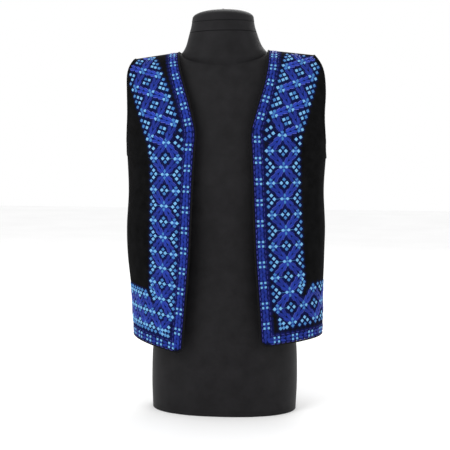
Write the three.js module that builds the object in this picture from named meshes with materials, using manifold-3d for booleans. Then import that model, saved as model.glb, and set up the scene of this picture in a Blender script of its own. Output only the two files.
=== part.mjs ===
// An open-fronted, waist-length folk vest on a limbless dress form.
// Millimetres, +Z up, +X to the wearer's left, the wearer faces -Y, the form stands on z = 0.
import * as THREE from "three";
import { mergeVertices } from "three/addons/utils/BufferGeometryUtils.js";
import Module from "manifold-3d";

// ---- Driving dimensions ----

const WALL = 2.6; // wool cloth with its embroidery and backing
const SEAM_GAP = 0.3; // between two pieces that are sewn together
const PIPING = { radius: 1.7, sides: 6, gap: 0.4, lift: 2.0 }; // the lift is from the cloth's inside

const UNDERARM_Z = 489; // lowest point of the armhole
const CHEST_Z = 520; // above this height the cloth leans in and over the shoulder
const NECK_POINT = { x: 88, z: 691.4 }; // where the shoulder seam meets the neck, inside of the cloth
const SHOULDER_SLOPE = 0.126;
// The hem dips at the front, more on the wearer's right, and the left side hangs higher by the tilt.
const HEM = { z: 150.5, frontDip: { right: 42, left: 18 }, dipWidth: 176, tilt: 3 };
// The left side seam swings out towards the hem.
const SWING = { out: 11, from: 330 };
// Above the chest the whole form stands a little askew: the left shoulder is higher, the neck is off centre.
const ASKEW = { tilt: 0.026, tiltFrom: 540, tiltTo: 690, shift: -9, shiftFrom: 600, shiftTo: 745 };
const V_CORNER = { z: 541, tilt: 3.5 }; // where the front edge turns into the neckline
const BACK_NECK_TURN = 0.42; // share of the shoulder's turn that the back neck stays below the seam
const HEM_CORNER_CUT = 3; // how far the rounded lower front corner is drawn in

// How square a curve is: 2 is an ellipse.
const SECTION_POWER = 2.3;
const CREST_POWER = { front: 2.2, back: 2.5, form: 2 };

// Inside of the worn cloth at each height: half width, and depth to the front and to the back.
const VEST_SECTIONS = [
  { z: 130, width: 175.5, front: 118, back: 116 },
  { z: 180, width: 178.4, front: 115, back: 113 },
  { z: 226, width: 181.1, front: 113, back: 110 },
  { z: 298, width: 189.0, front: 112, back: 106 },
  { z: 355, width: 191.0, front: 114, back: 106 },
  { z: 427, width: 187.4, front: 118, back: 109 },
  { z: 489, width: 190.0, front: 117, back: 112 },
  { z: 520, width: 192.5, front: 113, back: 112 },
  { z: 570, width: 195.5, front: 112, back: 111 },
  { z: 700, width: 196.0, front: 112, back: 110 },
];

// Half of the gap between the two front edges.
const FRONT_EDGE = [
  { z: 130, x: 76.5 },
  { z: 178, x: 73.7 },
  { z: 241, x: 69.0 },
  { z: 320, x: 63.2 },
  { z: 363, x: 61.2 },
  { z: 465, x: 56.5 },
  { z: 541, x: 52.2 },
];

// The neckline above the V corner; rise is the share of the way from the chest to the shoulder seam.
const NECKLINE = [
  { rise: 0.12, x: 52.2 },
  { rise: 0.39, x: 64.3 },
  { rise: 0.6, x: 75.0 },
  { rise: 0.8, x: 83.3 },
  { rise: 1.0, x: NECK_POINT.x },
];

// The armhole's edge, seen from the front, above the chest.
const ARMHOLE = [
  { rise: 0.0, x: 187.5 },
  { rise: 0.3, x: 184.0 },
  { rise: 0.6, x: 185.5 },
  { rise: 0.8, x: 184.5 },
  { rise: 0.9, x: 180.0 },
  { rise: 1.0, x: 170.0 },
];

// The dress form: half width, and depth to the front and to the back.
const FORM_SECTIONS = [
  { z: 0, width: 141, front: 92, back: 87 },
  { z: 60, width: 143, front: 94, back: 88 },
  { z: 136, width: 140, front: 93, back: 87 },
  { z: 230, width: 125, front: 85, back: 80 },
  { z: 300, width: 119, front: 82, back: 76 },
  { z: 380, width: 127, front: 91, back: 80 },
  { z: 450, width: 139, front: 100, back: 86 },
  { z: 520, width: 150, front: 95, back: 91 },
  { z: 620, width: 155, front: 93, back: 92 },
  { z: 668, width: 155, front: 93, back: 92 },
  { z: 700, width: 148, front: 93, back: 92 },
];
const FORM_REST_GAP = 0.3; // between the form's shoulders and the cloth that rests on them

// The neck of the form, as ellipses: half width and half depth.
const FORM_NECK = [
  { z: 640, width: 60, depth: 50 },
  { z: 676, width: 88, depth: 57 },
  { z: 690.5, width: 83, depth: 57 },
  { z: 698, width: 77, depth: 57 },
  { z: 708, width: 71.7, depth: 57 },
  { z: 719, width: 68, depth: 57 },
  { z: 729, width: 65, depth: 57 },
  { z: 739, width: 62, depth: 56.5 },
  { z: 749, width: 60, depth: 56 },
];
const NECK_SEAM_Z = { lower: 729, upper: 749 };
const NECK_CAP = { edgeHeight: 8, domeHeight: 16, buttonRadius: 3.2, buttonHeight: 2.4 };

const CLOTH_ROWS = { belowV: 13, aboveV: 13, underarm: 11, armholeTurn: 4 };
const FRONT_COLUMNS = 13;
const BACK_COLUMNS = { neck: 7, shoulder: 7 };
const FORM_COLUMNS = 36;
const FORM_ROWS = { lower: 9, upper: 8 };
const NECK_COLUMNS = 32;

const QUARTER = Math.PI / 2;

// ---- Small helpers ----

const lerp = (a, b, t) => a + (b - a) * t;

// The value of one column of a table at a place, on a smooth curve through the rows.
function valueAt(table, key, column, place) {
  const last = table.length - 1;
  const at = THREE.MathUtils.clamp(place, table[0][key], table[last][key]);
  let i = 0;
  while (i < last - 1 && at > table[i + 1][key]) i += 1;
  const slope = (j) => {
    const low = table[Math.max(0, j - 1)];
    const high = table[Math.min(last, j + 1)];
    return (high[column] - low[column]) / (high[key] - low[key]);
  };
  const span = table[i + 1][key] - table[i][key];
  const t = (at - table[i][key]) / span;
  const [t2, t3] = [t * t, t * t * t];
  return (
    (2 * t3 - 3 * t2 + 1) * table[i][column] +
    (t3 - 2 * t2 + t) * span * slope(i) +
    (3 * t2 - 2 * t3) * table[i + 1][column] +
    (t3 - t2) * span * slope(i + 1)
  );
}

// Height of the shoulder's crest, inside of the cloth, at a distance from the middle.
const crestZ = (x) => NECK_POINT.z - SHOULDER_SLOPE * (Math.abs(x) - NECK_POINT.x);

// A height coordinate: below 1 it is the share of the way up from the hem to the chest, and from 1 to 2
// it is the turn over the shoulder, from upright cloth at 1 to the seam on top at 2.
const turnToRise = (height, power) => Math.sin((height - 1) * QUARTER) ** (2 / power);
const riseToTurn = (rise, power) => 1 + Math.asin(rise ** (power / 2)) / QUARTER;

// A point of a body that is upright up to the chest and arches over the shoulders above it. The angle
// runs from 0 at the middle of the front or back to a quarter turn at the side.
function bodyPoint({ sections, facing, floor, power, crestDrop }, angle, height) {
  const depthColumn = facing < 0 ? "front" : "back";
  const across = Math.sign(angle) * Math.abs(Math.sin(angle)) ** (2 / SECTION_POWER);
  const along = Math.abs(Math.cos(angle)) ** (2 / SECTION_POWER);
  if (height <= 1) {
    const z = lerp(floor, CHEST_Z, height);
    return new THREE.Vector3(
      across * valueAt(sections, "z", "width", z),
      facing * along * valueAt(sections, "z", depthColumn, z),
      z,
    );
  }
  const rise = turnToRise(height, power);
  const lean = Math.cos((height - 1) * QUARTER) ** (2 / power);
  const nominalZ = lerp(CHEST_Z, NECK_POINT.z, rise);
  const x = across * valueAt(sections, "z", "width", nominalZ);
  return new THREE.Vector3(
    x,
    facing * along * lean * valueAt(sections, "z", depthColumn, nominalZ),
    lerp(CHEST_Z, crestZ(x) - crestDrop, rise),
  );
}

// The angle at which a body's section reaches a distance from the middle.
function angleOfX(body, x, height) {
  const side = bodyPoint(body, QUARTER, height).x;
  return Math.asin(Math.min(1, Math.abs(x) / side) ** (SECTION_POWER / 2));
}

function geometryFrom(points, triangles) {
  const geometry = new THREE.BufferGeometry();
  const flat = points.flatMap((p) => [p.x, p.y, p.z]);
  geometry.setAttribute("position", new THREE.Float32BufferAttribute(flat, 3));
  geometry.setIndex(triangles);
  geometry.computeVertexNormals();
  return geometry;
}

// ---- Cloth ----

// A wall of cloth over a grid of points of its inside. It remembers its edges for the piping.
function clothPanel(rows, columns, insideAt, facing, isSeam) {
  const inside = [];
  for (let i = 0; i <= rows; i += 1) {
    inside.push([]);
    for (let k = 0; k <= columns; k += 1) inside[i].push(insideAt(i, k));
  }
  const normals = inside.map((row, i) =>
    row.map((_, k) => {
      const up = inside[Math.min(rows, i + 1)][k].clone().sub(inside[Math.max(0, i - 1)][k]);
      const over = row[Math.min(columns, k + 1)].clone().sub(row[Math.max(0, k - 1)]);
      const normal = over.cross(up).normalize();
      if (isSeam(i, k)) normal.setY(0).normalize();
      return normal;
    }),
  );
  if (normals[1][1].y * facing < 0) normals.flat().forEach((normal) => normal.negate());
  const outside = inside.map((row, i) =>
    row.map((p, k) => p.clone().addScaledVector(normals[i][k], WALL)),
  );
  const points = [...inside.flat(), ...outside.flat()];
  const layer = (rows + 1) * (columns + 1);
  const at = (i, k) => i * (columns + 1) + k;
  const triangles = [];
  const quad = (a, b, c, d) => triangles.push(a, b, c, a, c, d);
  for (let i = 0; i < rows; i += 1) {
    for (let k = 0; k < columns; k += 1) {
      const [a, b, c, d] = [at(i, k), at(i, k + 1), at(i + 1, k + 1), at(i + 1, k)];
      quad(layer + a, layer + b, layer + c, layer + d);
      quad(a, d, c, b);
    }
  }
  const rim = (a, b) => quad(a, b, layer + b, layer + a);
  for (let k = 0; k < columns; k += 1) {
    rim(at(0, k), at(0, k + 1));
    rim(at(rows, k + 1), at(rows, k));
  }
  for (let i = 0; i < rows; i += 1) {
    rim(at(i + 1, 0), at(i, 0));
    rim(at(i, columns), at(i + 1, columns));
  }
  const [a, b, c] = [at(0, 0), at(0, 1), at(1, 0)].map((j) => points[layer + j]);
  const drawn = b.clone().sub(a).cross(c.clone().sub(a));
  if (drawn.dot(normals[0][0]) < 0) {
    for (let j = 0; j < triangles.length; j += 3) {
      [triangles[j + 1], triangles[j + 2]] = [triangles[j + 2], triangles[j + 1]];
    }
  }
  const edge = (i, k) => ({
    point: inside[i][k].clone().addScaledVector(normals[i][k], PIPING.lift),
    normal: normals[i][k],
  });
  return { geometry: geometryFrom(points, triangles), edge };
}

const VEST = { sections: VEST_SECTIONS, floor: HEM.z, crestDrop: 0 };
const VEST_FRONT = { ...VEST, facing: -1, power: CREST_POWER.front };
const VEST_BACK = { ...VEST, facing: 1, power: CREST_POWER.back };
const ROWS = CLOTH_ROWS.belowV + CLOTH_ROWS.aboveV;
const ARMHOLE_START = CLOTH_ROWS.underarm;
const V_CORNER_X = NECKLINE[0].x;

// The side of a panel at a row: its height coordinate, and its distance from the middle, which is null
// on the side seam below the armhole.
function sideOfRow(row, body) {
  const underarm = (UNDERARM_Z - HEM.z) / (CHEST_Z - HEM.z);
  if (row <= ARMHOLE_START) return { height: (underarm * row) / ARMHOLE_START, x: null };
  const turnEnd = ARMHOLE_START + CLOTH_ROWS.armholeTurn;
  if (row < turnEnd) {
    const turn = (QUARTER * (row - ARMHOLE_START)) / CLOTH_ROWS.armholeTurn;
    const height = lerp(underarm, 1, 1 - Math.cos(turn));
    const depth = Math.abs(bodyPoint(body, angleOfX(body, ARMHOLE[0].x, 1), 1).y) * Math.sin(turn);
    const deepest = Math.abs(bodyPoint(body, 0, height).y);
    const angle = Math.acos((depth / deepest) ** (SECTION_POWER / 2));
    return { height, x: bodyPoint(body, angle, height).x };
  }
  const height = 1 + (row - turnEnd) / (ROWS - turnEnd);
  return { height, x: valueAt(ARMHOLE, "rise", "x", turnToRise(height, body.power)) };
}

function sideAngle(row, body) {
  const side = sideOfRow(row, body);
  return { height: side.height, angle: side.x === null ? QUARTER : angleOfX(body, side.x, side.height) };
}

// Lowers or lifts a point near the hem, so that the hem dips at the front and follows the tilt.
function hang(point, facing) {
  const share = THREE.MathUtils.clamp((CHEST_Z - point.z) / (CHEST_Z - HEM.z), 0, 1);
  const toFront = facing < 0 ? THREE.MathUtils.clamp(1 - Math.abs(point.x) / HEM.dipWidth, 0, 1) : 0;
  const frontDip = point.x < 0 ? HEM.frontDip.right : HEM.frontDip.left;
  const tilt = (HEM.tilt * point.x) / VEST_SECTIONS[0].width;
  if (point.x > 0) {
    const down = THREE.MathUtils.smoothstep(SWING.from - point.z, 0, SWING.from - HEM.z);
    point.x += SWING.out * down * (point.x / VEST_SECTIONS[0].width) ** 3;
  }
  point.z += share * (tilt - frontDip * toFront);
  return point;
}

// One front. The side is -1 for the wearer's right and 1 for the wearer's left.
function makeFront(side) {
  const vCornerZ = V_CORNER.z + side * V_CORNER.tilt;
  const vHeight = riseToTurn((vCornerZ - CHEST_Z) / (crestZ(V_CORNER_X) - CHEST_Z), CREST_POWER.front);
  const frontEdge = (row) => {
    const above = row - CLOTH_ROWS.belowV;
    const height =
      above <= 0
        ? (vHeight * row) / CLOTH_ROWS.belowV
        : lerp(vHeight, 2, above / CLOTH_ROWS.aboveV);
    const x =
      height < 1
        ? valueAt(FRONT_EDGE, "z", "x", lerp(HEM.z, CHEST_Z, height))
        : above <= 0
          ? V_CORNER_X
          : valueAt(NECKLINE, "rise", "x", turnToRise(height, CREST_POWER.front));
    return { height, angle: angleOfX(VEST_FRONT, x, height) };
  };
  const insideAt = (row, column) => {
    const share = column / FRONT_COLUMNS;
    const edge = frontEdge(row);
    const outer = sideAngle(row, VEST_FRONT);
    const height = lerp(edge.height, outer.height, share * share);
    const point = bodyPoint(VEST_FRONT, lerp(edge.angle, outer.angle, share), height);
    point.y = Math.min(point.y, -SEAM_GAP / 2);
    point.x *= side;
    if (row === 0 && column === 0) {
      point.x += side * HEM_CORNER_CUT;
      point.z += HEM_CORNER_CUT;
    }
    return hang(point, -1);
  };
  const onSeam = (row, column) => row === ROWS || (column === FRONT_COLUMNS && row <= ARMHOLE_START);
  return clothPanel(ROWS, FRONT_COLUMNS, insideAt, -1, onSeam);
}

function makeBack() {
  const half = BACK_COLUMNS.neck + BACK_COLUMNS.shoulder;
  const neckShare =
    angleOfX(VEST_BACK, NECK_POINT.x, 2) / angleOfX(VEST_BACK, ARMHOLE[ARMHOLE.length - 1].x, 2);
  // The back neck is a half ellipse, so that it leaves the shoulder seams square to them.
  const neckTurn = (step) => (QUARTER * Math.min(step, BACK_COLUMNS.neck)) / BACK_COLUMNS.neck;
  const shareOf = (step) =>
    step <= BACK_COLUMNS.neck
      ? neckShare * Math.sin(neckTurn(step))
      : lerp(neckShare, 1, (step - BACK_COLUMNS.neck) / BACK_COLUMNS.shoulder);
  const topOf = (step) => 2 - BACK_NECK_TURN * Math.cos(neckTurn(step));
  const insideAt = (row, column) => {
    const step = Math.abs(column - half);
    const share = shareOf(step);
    const outer = sideAngle(row, VEST_BACK);
    const middle = (topOf(step) * row) / ROWS;
    const height = lerp(middle, outer.height, share * share);
    const point = bodyPoint(VEST_BACK, outer.angle * share, row === ROWS ? topOf(step) : height);
    point.y = Math.max(point.y, SEAM_GAP / 2);
    point.x *= Math.sign(column - half);
    return hang(point, 1);
  };
  const onSeam = (row, column) => {
    const step = Math.abs(column - half);
    return (row === ROWS && step >= BACK_COLUMNS.neck) || (step === half && row <= ARMHOLE_START);
  };
  return clothPanel(ROWS, 2 * half, insideAt, 1, onSeam);
}

// ---- Piping ----

// A closed ring of cord beside the cloth's edge. Each stop has the edge's point and the cloth's normal.
function makePiping(stops, inward) {
  const count = stops.length;
  const centres = [];
  const outwards = [];
  stops.forEach(({ point, normal }, i) => {
    const before = stops[(i + count - 1) % count].point;
    const after = stops[(i + 1) % count].point;
    const into = point.clone().sub(before).normalize();
    const onward = after.clone().sub(point).normalize();
    const tangent = into.clone().add(onward).normalize();
    const outward = tangent.clone().cross(normal).normalize().multiplyScalar(inward);
    const mitre = Math.min(1.6, 1 / Math.max(0.5, tangent.dot(onward)));
    outwards.push(outward);
    centres.push(point.clone().addScaledVector(outward, (PIPING.radius + PIPING.gap) * mitre));
  });
  const points = [];
  centres.forEach((centre, i) => {
    for (let j = 0; j < PIPING.sides; j += 1) {
      const turn = ((j + 0.5) / PIPING.sides) * 2 * Math.PI;
      points.push(
        centre
          .clone()
          .addScaledVector(outwards[i], PIPING.radius * Math.cos(turn))
          .addScaledVector(stops[i].normal, PIPING.radius * Math.sin(turn)),
      );
    }
  });
  const triangles = [];
  for (let i = 0; i < count; i += 1) {
    for (let j = 0; j < PIPING.sides; j += 1) {
      const [i2, j2] = [(i + 1) % count, (j + 1) % PIPING.sides];
      const [a, b] = [i * PIPING.sides + j, i * PIPING.sides + j2];
      const [c, d] = [i2 * PIPING.sides + j2, i2 * PIPING.sides + j];
      if (inward < 0) triangles.push(a, b, c, a, c, d);
      else triangles.push(a, c, b, a, d, c);
    }
  }
  return geometryFrom(points, triangles);
}

const countUp = (from, to) => Array.from({ length: to - from + 1 }, (_, i) => from + i);
const countDown = (from, to) => countUp(to, from).reverse();

// Round the back neck, down one front, round the hem and up the other front.
function edgeStops(back, fronts) {
  const half = BACK_COLUMNS.neck + BACK_COLUMNS.shoulder;
  const { neck } = BACK_COLUMNS;
  return [
    ...countUp(half - neck, half + neck).map((column) => back.edge(ROWS, column)),
    ...countDown(ROWS - 1, 1).map((row) => fronts.left.edge(row, 0)),
    ...countUp(0, FRONT_COLUMNS - 1).map((column) => fronts.left.edge(0, column)),
    ...countDown(2 * half, 0).map((column) => back.edge(0, column)),
    ...countDown(FRONT_COLUMNS - 1, 0).map((column) => fronts.right.edge(0, column)),
    ...countUp(1, ROWS - 1).map((row) => fronts.right.edge(row, 0)),
  ];
}

// Up the front of an armhole and down its back.
function armholeStops(back, front, backColumn) {
  return [
    ...countUp(ARMHOLE_START, ROWS).map((row) => front.edge(row, FRONT_COLUMNS)),
    ...countDown(ROWS - 1, ARMHOLE_START + 1).map((row) => back.edge(row, backColumn)),
  ];
}

// ---- The dress form ----

// A closed body through rings of points, each ring one height, with its first and last ring capped.
function bodyThroughRings(rings) {
  const around = rings[0].length;
  const triangles = [];
  for (let i = 0; i < rings.length - 1; i += 1) {
    for (let j = 0; j < around; j += 1) {
      const j2 = (j + 1) % around;
      const [a, b] = [i * around + j, i * around + j2];
      const [c, d] = [(i + 1) * around + j2, (i + 1) * around + j];
      triangles.push(a, b, c, a, c, d);
    }
  }
  const points = rings.flat();
  const cap = (ring, flip) => {
    const centre = ring.reduce((sum, p) => sum.add(p), new THREE.Vector3()).divideScalar(around);
    const hub = points.push(centre) - 1;
    const first = rings.indexOf(ring) * around;
    for (let j = 0; j < around; j += 1) {
      const pair = [first + j, first + ((j + 1) % around)];
      triangles.push(...(flip ? pair.reverse() : pair), hub);
    }
  };
  cap(rings[0], true);
  cap(rings[rings.length - 1], false);
  return geometryFrom(points, triangles);
}

function ellipseRing(z, width, depth) {
  return Array.from({ length: NECK_COLUMNS }, (_, j) => {
    const turn = (j / NECK_COLUMNS) * 2 * Math.PI;
    return new THREE.Vector3(width * Math.cos(turn), depth * Math.sin(turn), z);
  });
}

// The torso: rings up to the chest, then an arch over the shoulders, closed along their crest.
function makeTorso() {
  const sheets = [-1, 1].map((facing) => ({
    sections: FORM_SECTIONS,
    facing,
    floor: 0,
    power: CREST_POWER.form,
    crestDrop: FORM_REST_GAP,
  }));
  const heights = [
    ...countUp(0, FORM_ROWS.lower).map((i) => i / FORM_ROWS.lower),
    ...countUp(1, FORM_ROWS.upper).map((i) => 1 + i / FORM_ROWS.upper),
  ];
  const half = FORM_COLUMNS / 2;
  const rings = heights.map((height) => [
    ...countUp(0, half - 1).map((j) => bodyPoint(sheets[0], lerp(-QUARTER, QUARTER, j / half), height)),
    ...countUp(0, half - 1).map((j) => bodyPoint(sheets[1], lerp(QUARTER, -QUARTER, j / half), height)),
  ]);
  return bodyThroughRings(rings);
}

function neckRing(z) {
  const width = valueAt(FORM_NECK, "z", "width", z);
  return ellipseRing(z, width, valueAt(FORM_NECK, "z", "depth", z));
}

function makeNeckStem() {
  const heights = FORM_NECK.map((row) => row.z).filter((z) => z <= NECK_SEAM_Z.lower);
  return bodyThroughRings(heights.map(neckRing));
}

function makeNeckBand() {
  const low = NECK_SEAM_Z.lower + SEAM_GAP;
  const high = NECK_SEAM_Z.upper;
  return bodyThroughRings([low, lerp(low, high, 0.5), high].map(neckRing));
}

function makeNeckCap() {
  const base = NECK_SEAM_Z.upper + SEAM_GAP;
  const { width, depth } = FORM_NECK[FORM_NECK.length - 1];
  const shoulder = base + NECK_CAP.edgeHeight;
  const rings = [ellipseRing(base, width, depth), ellipseRing(shoulder, width - 1, depth - 1)];
  for (const turn of [0.25, 0.5, 0.75, 0.9]) {
    const shrink = Math.cos(turn * QUARTER) ** 0.8;
    const lift = NECK_CAP.domeHeight * Math.sin(turn * QUARTER);
    rings.push(ellipseRing(shoulder + lift, (width - 1) * shrink, (depth - 1) * shrink));
  }
  const top = shoulder + NECK_CAP.domeHeight;
  const { buttonRadius, buttonHeight } = NECK_CAP;
  rings.push(ellipseRing(top, buttonRadius * 1.3, buttonRadius * 1.3));
  rings.push(ellipseRing(top + buttonHeight * 0.7, buttonRadius, buttonRadius));
  rings.push(ellipseRing(top + buttonHeight, buttonRadius * 0.5, buttonRadius * 0.5));
  return bodyThroughRings(rings);
}

// Joins closed geometries into one.
const library = await Module();
library.setup();

function toSolid(geometry) {
  const bare = geometry.clone();
  bare.deleteAttribute("normal");
  const merged = mergeVertices(bare, 1e-3);
  return new library.Manifold(
    new library.Mesh({
      numProp: 3,
      vertProperties: merged.attributes.position.array,
      triVerts: new Uint32Array(merged.index.array),
    }),
  );
}

function joined(first, second) {
  const mesh = toSolid(first).add(toSolid(second)).getMesh();
  const geometry = new THREE.BufferGeometry();
  geometry.setAttribute("position", new THREE.BufferAttribute(mesh.vertProperties, 3));
  geometry.setIndex(new THREE.BufferAttribute(mesh.triVerts, 1));
  geometry.computeVertexNormals();
  return geometry;
}

// ---- The whole part ----

const blackCloth = { color: 0x111112, roughness: 0.95, metalness: 0 };
const pipingCord = { color: 0x0c0c0d, roughness: 0.8, metalness: 0 };
const formCover = { color: 0x1a191b, roughness: 0.75, metalness: 0 };

const part = new THREE.Group();

// One smooth displacement of every piece, so that the gaps between them stay as they are.
function standAskew(geometry) {
  const place = geometry.attributes.position;
  for (let i = 0; i < place.count; i += 1) {
    const [x, z] = [place.getX(i), place.getZ(i)];
    const lifted = THREE.MathUtils.smoothstep(z, ASKEW.tiltFrom, ASKEW.tiltTo);
    const shifted = THREE.MathUtils.smoothstep(z, ASKEW.shiftFrom, ASKEW.shiftTo);
    place.setX(i, x + ASKEW.shift * shifted);
    place.setZ(i, z + ASKEW.tilt * x * lifted);
  }
  geometry.computeVertexNormals();
}

function addPiece(name, geometry, finish) {
  standAskew(geometry);
  const mesh = new THREE.Mesh(geometry, new THREE.MeshStandardMaterial(finish));
  mesh.name = name;
  part.add(mesh);
}

const back = makeBack();
const fronts = { right: makeFront(-1), left: makeFront(1) };
const lastBackColumn = 2 * (BACK_COLUMNS.neck + BACK_COLUMNS.shoulder);

addPiece("back", back.geometry, blackCloth);
addPiece("front_right", fronts.right.geometry, blackCloth);
addPiece("front_left", fronts.left.geometry, blackCloth);
addPiece("edge_piping", makePiping(edgeStops(back, fronts), 1), pipingCord);
addPiece("armhole_piping_right", makePiping(armholeStops(back, fronts.right, 0), -1), pipingCord);
addPiece(
  "armhole_piping_left",
  makePiping(armholeStops(back, fronts.left, lastBackColumn), 1),
  pipingCord,
);
addPiece("form_body", joined(makeTorso(), makeNeckStem()), formCover);
addPiece("form_neck_band", makeNeckBand(), formCover);
addPiece("form_neck_cap", makeNeckCap(), formCover);

// The part's own frame: the middle of its floor plan, at the underside of the form.
const box = new THREE.Box3().setFromObject(part);
part.position.set(-(box.min.x + box.max.x) / 2, -(box.min.y + box.max.y) / 2, -box.min.z);

export default part;
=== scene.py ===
# %% [markdown]
# # An embroidered folk vest on a dress form
#
# The construction model comes first: it holds each cloth piece at its real size and place. Everything
# that follows is dressed around that frame and never moves it. Sizes below are in millimetres, as a
# tailor would write them, and are turned into Blender's metres at the moment a mesh is made.

# %% Load the frame
import math

import bpy
import numpy as np
from mathutils import Matrix, Vector
from mathutils.kdtree import KDTree


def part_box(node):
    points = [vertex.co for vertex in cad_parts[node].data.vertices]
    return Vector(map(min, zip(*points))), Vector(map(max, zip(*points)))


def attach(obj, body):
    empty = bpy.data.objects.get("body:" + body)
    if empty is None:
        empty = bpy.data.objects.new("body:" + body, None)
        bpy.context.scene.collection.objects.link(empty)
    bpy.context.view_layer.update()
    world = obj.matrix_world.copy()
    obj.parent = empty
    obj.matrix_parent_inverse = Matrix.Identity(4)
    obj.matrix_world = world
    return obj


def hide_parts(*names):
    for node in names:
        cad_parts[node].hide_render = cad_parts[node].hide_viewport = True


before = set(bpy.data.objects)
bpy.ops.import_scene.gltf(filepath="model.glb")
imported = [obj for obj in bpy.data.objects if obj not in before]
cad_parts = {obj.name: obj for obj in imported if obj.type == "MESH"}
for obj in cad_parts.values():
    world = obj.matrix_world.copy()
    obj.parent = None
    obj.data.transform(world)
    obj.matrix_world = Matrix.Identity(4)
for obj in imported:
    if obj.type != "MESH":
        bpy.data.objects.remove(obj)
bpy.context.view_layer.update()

MM = 0.001
QUARTER = math.pi / 2
print("nodes in the frame:", sorted(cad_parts))

# %% [markdown]
# ## The cut of the vest
#
# A vest could be modelled by pushing points about by eye, or by simulating flat panels on a figure.
# This one is stiff wool, thick with stitching, so it keeps the shape it was pressed to. A few measured
# sections say all of that: at each height, how far the cloth stands to the side, front and back. Above
# the chest each section leans in and closes over the shoulder like an arch.

# %% Measured sections
WALL = 2.6
SEAM_GAP = 0.3
UNDERARM_Z = 489.0
CHEST_Z = 520.0
NECK_POINT = {"x": 88.0, "z": 691.4}
SHOULDER_SLOPE = 0.126
HEM = {"z": 150.5, "front_dip": {"right": 42.0, "left": 18.0}, "dip_width": 176.0, "tilt": 3.0}
SWING = {"out": 11.0, "from_z": 330.0}
ASKEW = {
    "tilt": 0.026, "tilt_from": 540.0, "tilt_to": 690.0,
    "shift": -9.0, "shift_from": 600.0, "shift_to": 745.0,
}
V_CORNER = {"z": 541.0, "tilt": 3.5}
BACK_NECK_TURN = 0.42
SECTION_POWER = 2.3
CREST_POWER = {"front": 2.2, "back": 2.5, "form": 2.0}

VEST_SECTIONS = {
    "z": [130, 180, 226, 298, 355, 427, 489, 520, 570, 700],
    "width": [175.5, 178.4, 181.1, 189.0, 191.0, 187.4, 190.0, 192.5, 195.5, 196.0],
    "front": [118, 115, 113, 112, 114, 118, 117, 113, 112, 112],
    "back": [116, 113, 110, 106, 106, 109, 112, 112, 111, 110],
}
FRONT_EDGE = {
    "z": [130, 178, 241, 320, 363, 465, 541],
    "x": [76.5, 73.7, 69.0, 63.2, 61.2, 56.5, 52.2],
}
NECKLINE = {"rise": [0.12, 0.39, 0.6, 0.8, 1.0], "x": [52.2, 64.3, 75.0, 83.3, 88.0]}
ARMHOLE = {
    "rise": [0.0, 0.3, 0.6, 0.8, 0.9, 1.0],
    "x": [187.5, 184.0, 185.5, 184.5, 180.0, 170.0],
}
FORM_SECTIONS = {
    "z": [0, 60, 136, 230, 300, 380, 450, 520, 620, 668, 700],
    "width": [141, 143, 140, 125, 119, 127, 139, 150, 155, 155, 148],
    "front": [92, 94, 93, 85, 82, 91, 100, 95, 93, 93, 93],
    "back": [87, 88, 87, 80, 76, 80, 86, 91, 92, 92, 92],
}


# %% Smooth curves through the tables
def on_curve(table, key, column, place):
    """One column of a table at a place, on a smooth curve through the rows."""
    keys, values = np.array(table[key], float), np.array(table[column], float)
    last = len(keys) - 1
    at = np.clip(np.asarray(place, float), keys[0], keys[-1])
    i = np.clip(np.searchsorted(keys, at, side="right") - 1, 0, last - 1)
    low, high = np.maximum(np.arange(last + 1) - 1, 0), np.minimum(np.arange(last + 1) + 1, last)
    slopes = (values[high] - values[low]) / (keys[high] - keys[low])
    span = keys[i + 1] - keys[i]
    t = (at - keys[i]) / span
    return (
        (2 * t**3 - 3 * t**2 + 1) * values[i]
        + (t**3 - 2 * t**2 + t) * span * slopes[i]
        + (3 * t**2 - 2 * t**3) * values[i + 1]
        + (t**3 - t**2) * span * slopes[i + 1]
    )


def crest_z(x):
    return NECK_POINT["z"] - SHOULDER_SLOPE * (np.abs(x) - NECK_POINT["x"])


def turn_to_rise(height, power):
    return np.sin(np.clip(height - 1, 0, 1) * QUARTER) ** (2 / power)


def rise_to_turn(rise, power):
    return 1 + np.arcsin(np.clip(rise, 0, 1) ** (power / 2)) / QUARTER


# %% A point of the body, by angle and height
def body_point(sections, facing, power, floor, drop, angle, height):
    """Points of a body that is upright to the chest and arches over the shoulders above it."""
    angle, height = np.broadcast_arrays(np.asarray(angle, float), np.asarray(height, float))
    depth_column = "front" if facing < 0 else "back"
    across = np.sign(angle) * np.abs(np.sin(angle)) ** (2 / SECTION_POWER)
    along = np.abs(np.cos(angle)) ** (2 / SECTION_POWER)
    rise = turn_to_rise(height, power)
    lean = np.cos(np.clip(height - 1, 0, 1) * QUARTER) ** (2 / power)
    low = np.minimum(height, 1)
    z = np.where(height <= 1, floor + (CHEST_Z - floor) * low, CHEST_Z + (NECK_POINT["z"] - CHEST_Z) * rise)
    x = across * on_curve(sections, "z", "width", z)
    y = facing * along * lean * on_curve(sections, "z", depth_column, z)
    top = CHEST_Z + (crest_z(x) - drop - CHEST_Z) * rise
    return np.stack([x, y, np.where(height <= 1, z, top)], axis=-1)


def vest_point(facing, angle, height):
    power = CREST_POWER["front" if facing < 0 else "back"]
    return body_point(VEST_SECTIONS, facing, power, HEM["z"], 0.0, angle, height)


def angle_of_x(facing, x, height):
    side = vest_point(facing, QUARTER, height)[..., 0]
    return np.arcsin(np.minimum(1, np.abs(x) / side) ** (SECTION_POWER / 2))


def girth(height):
    """The way round the front and the back at one height."""
    sweep = np.linspace(-QUARTER, QUARTER, 200)
    halves = [vest_point(facing, sweep, height) for facing in (-1, 1)]
    return sum(np.linalg.norm(np.diff(half, axis=0), axis=1).sum() for half in halves)


print("girth inside the vest at the chest", round(girth(1.0)), "mm, at the hem", round(girth(0.0)), "mm")

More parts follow.
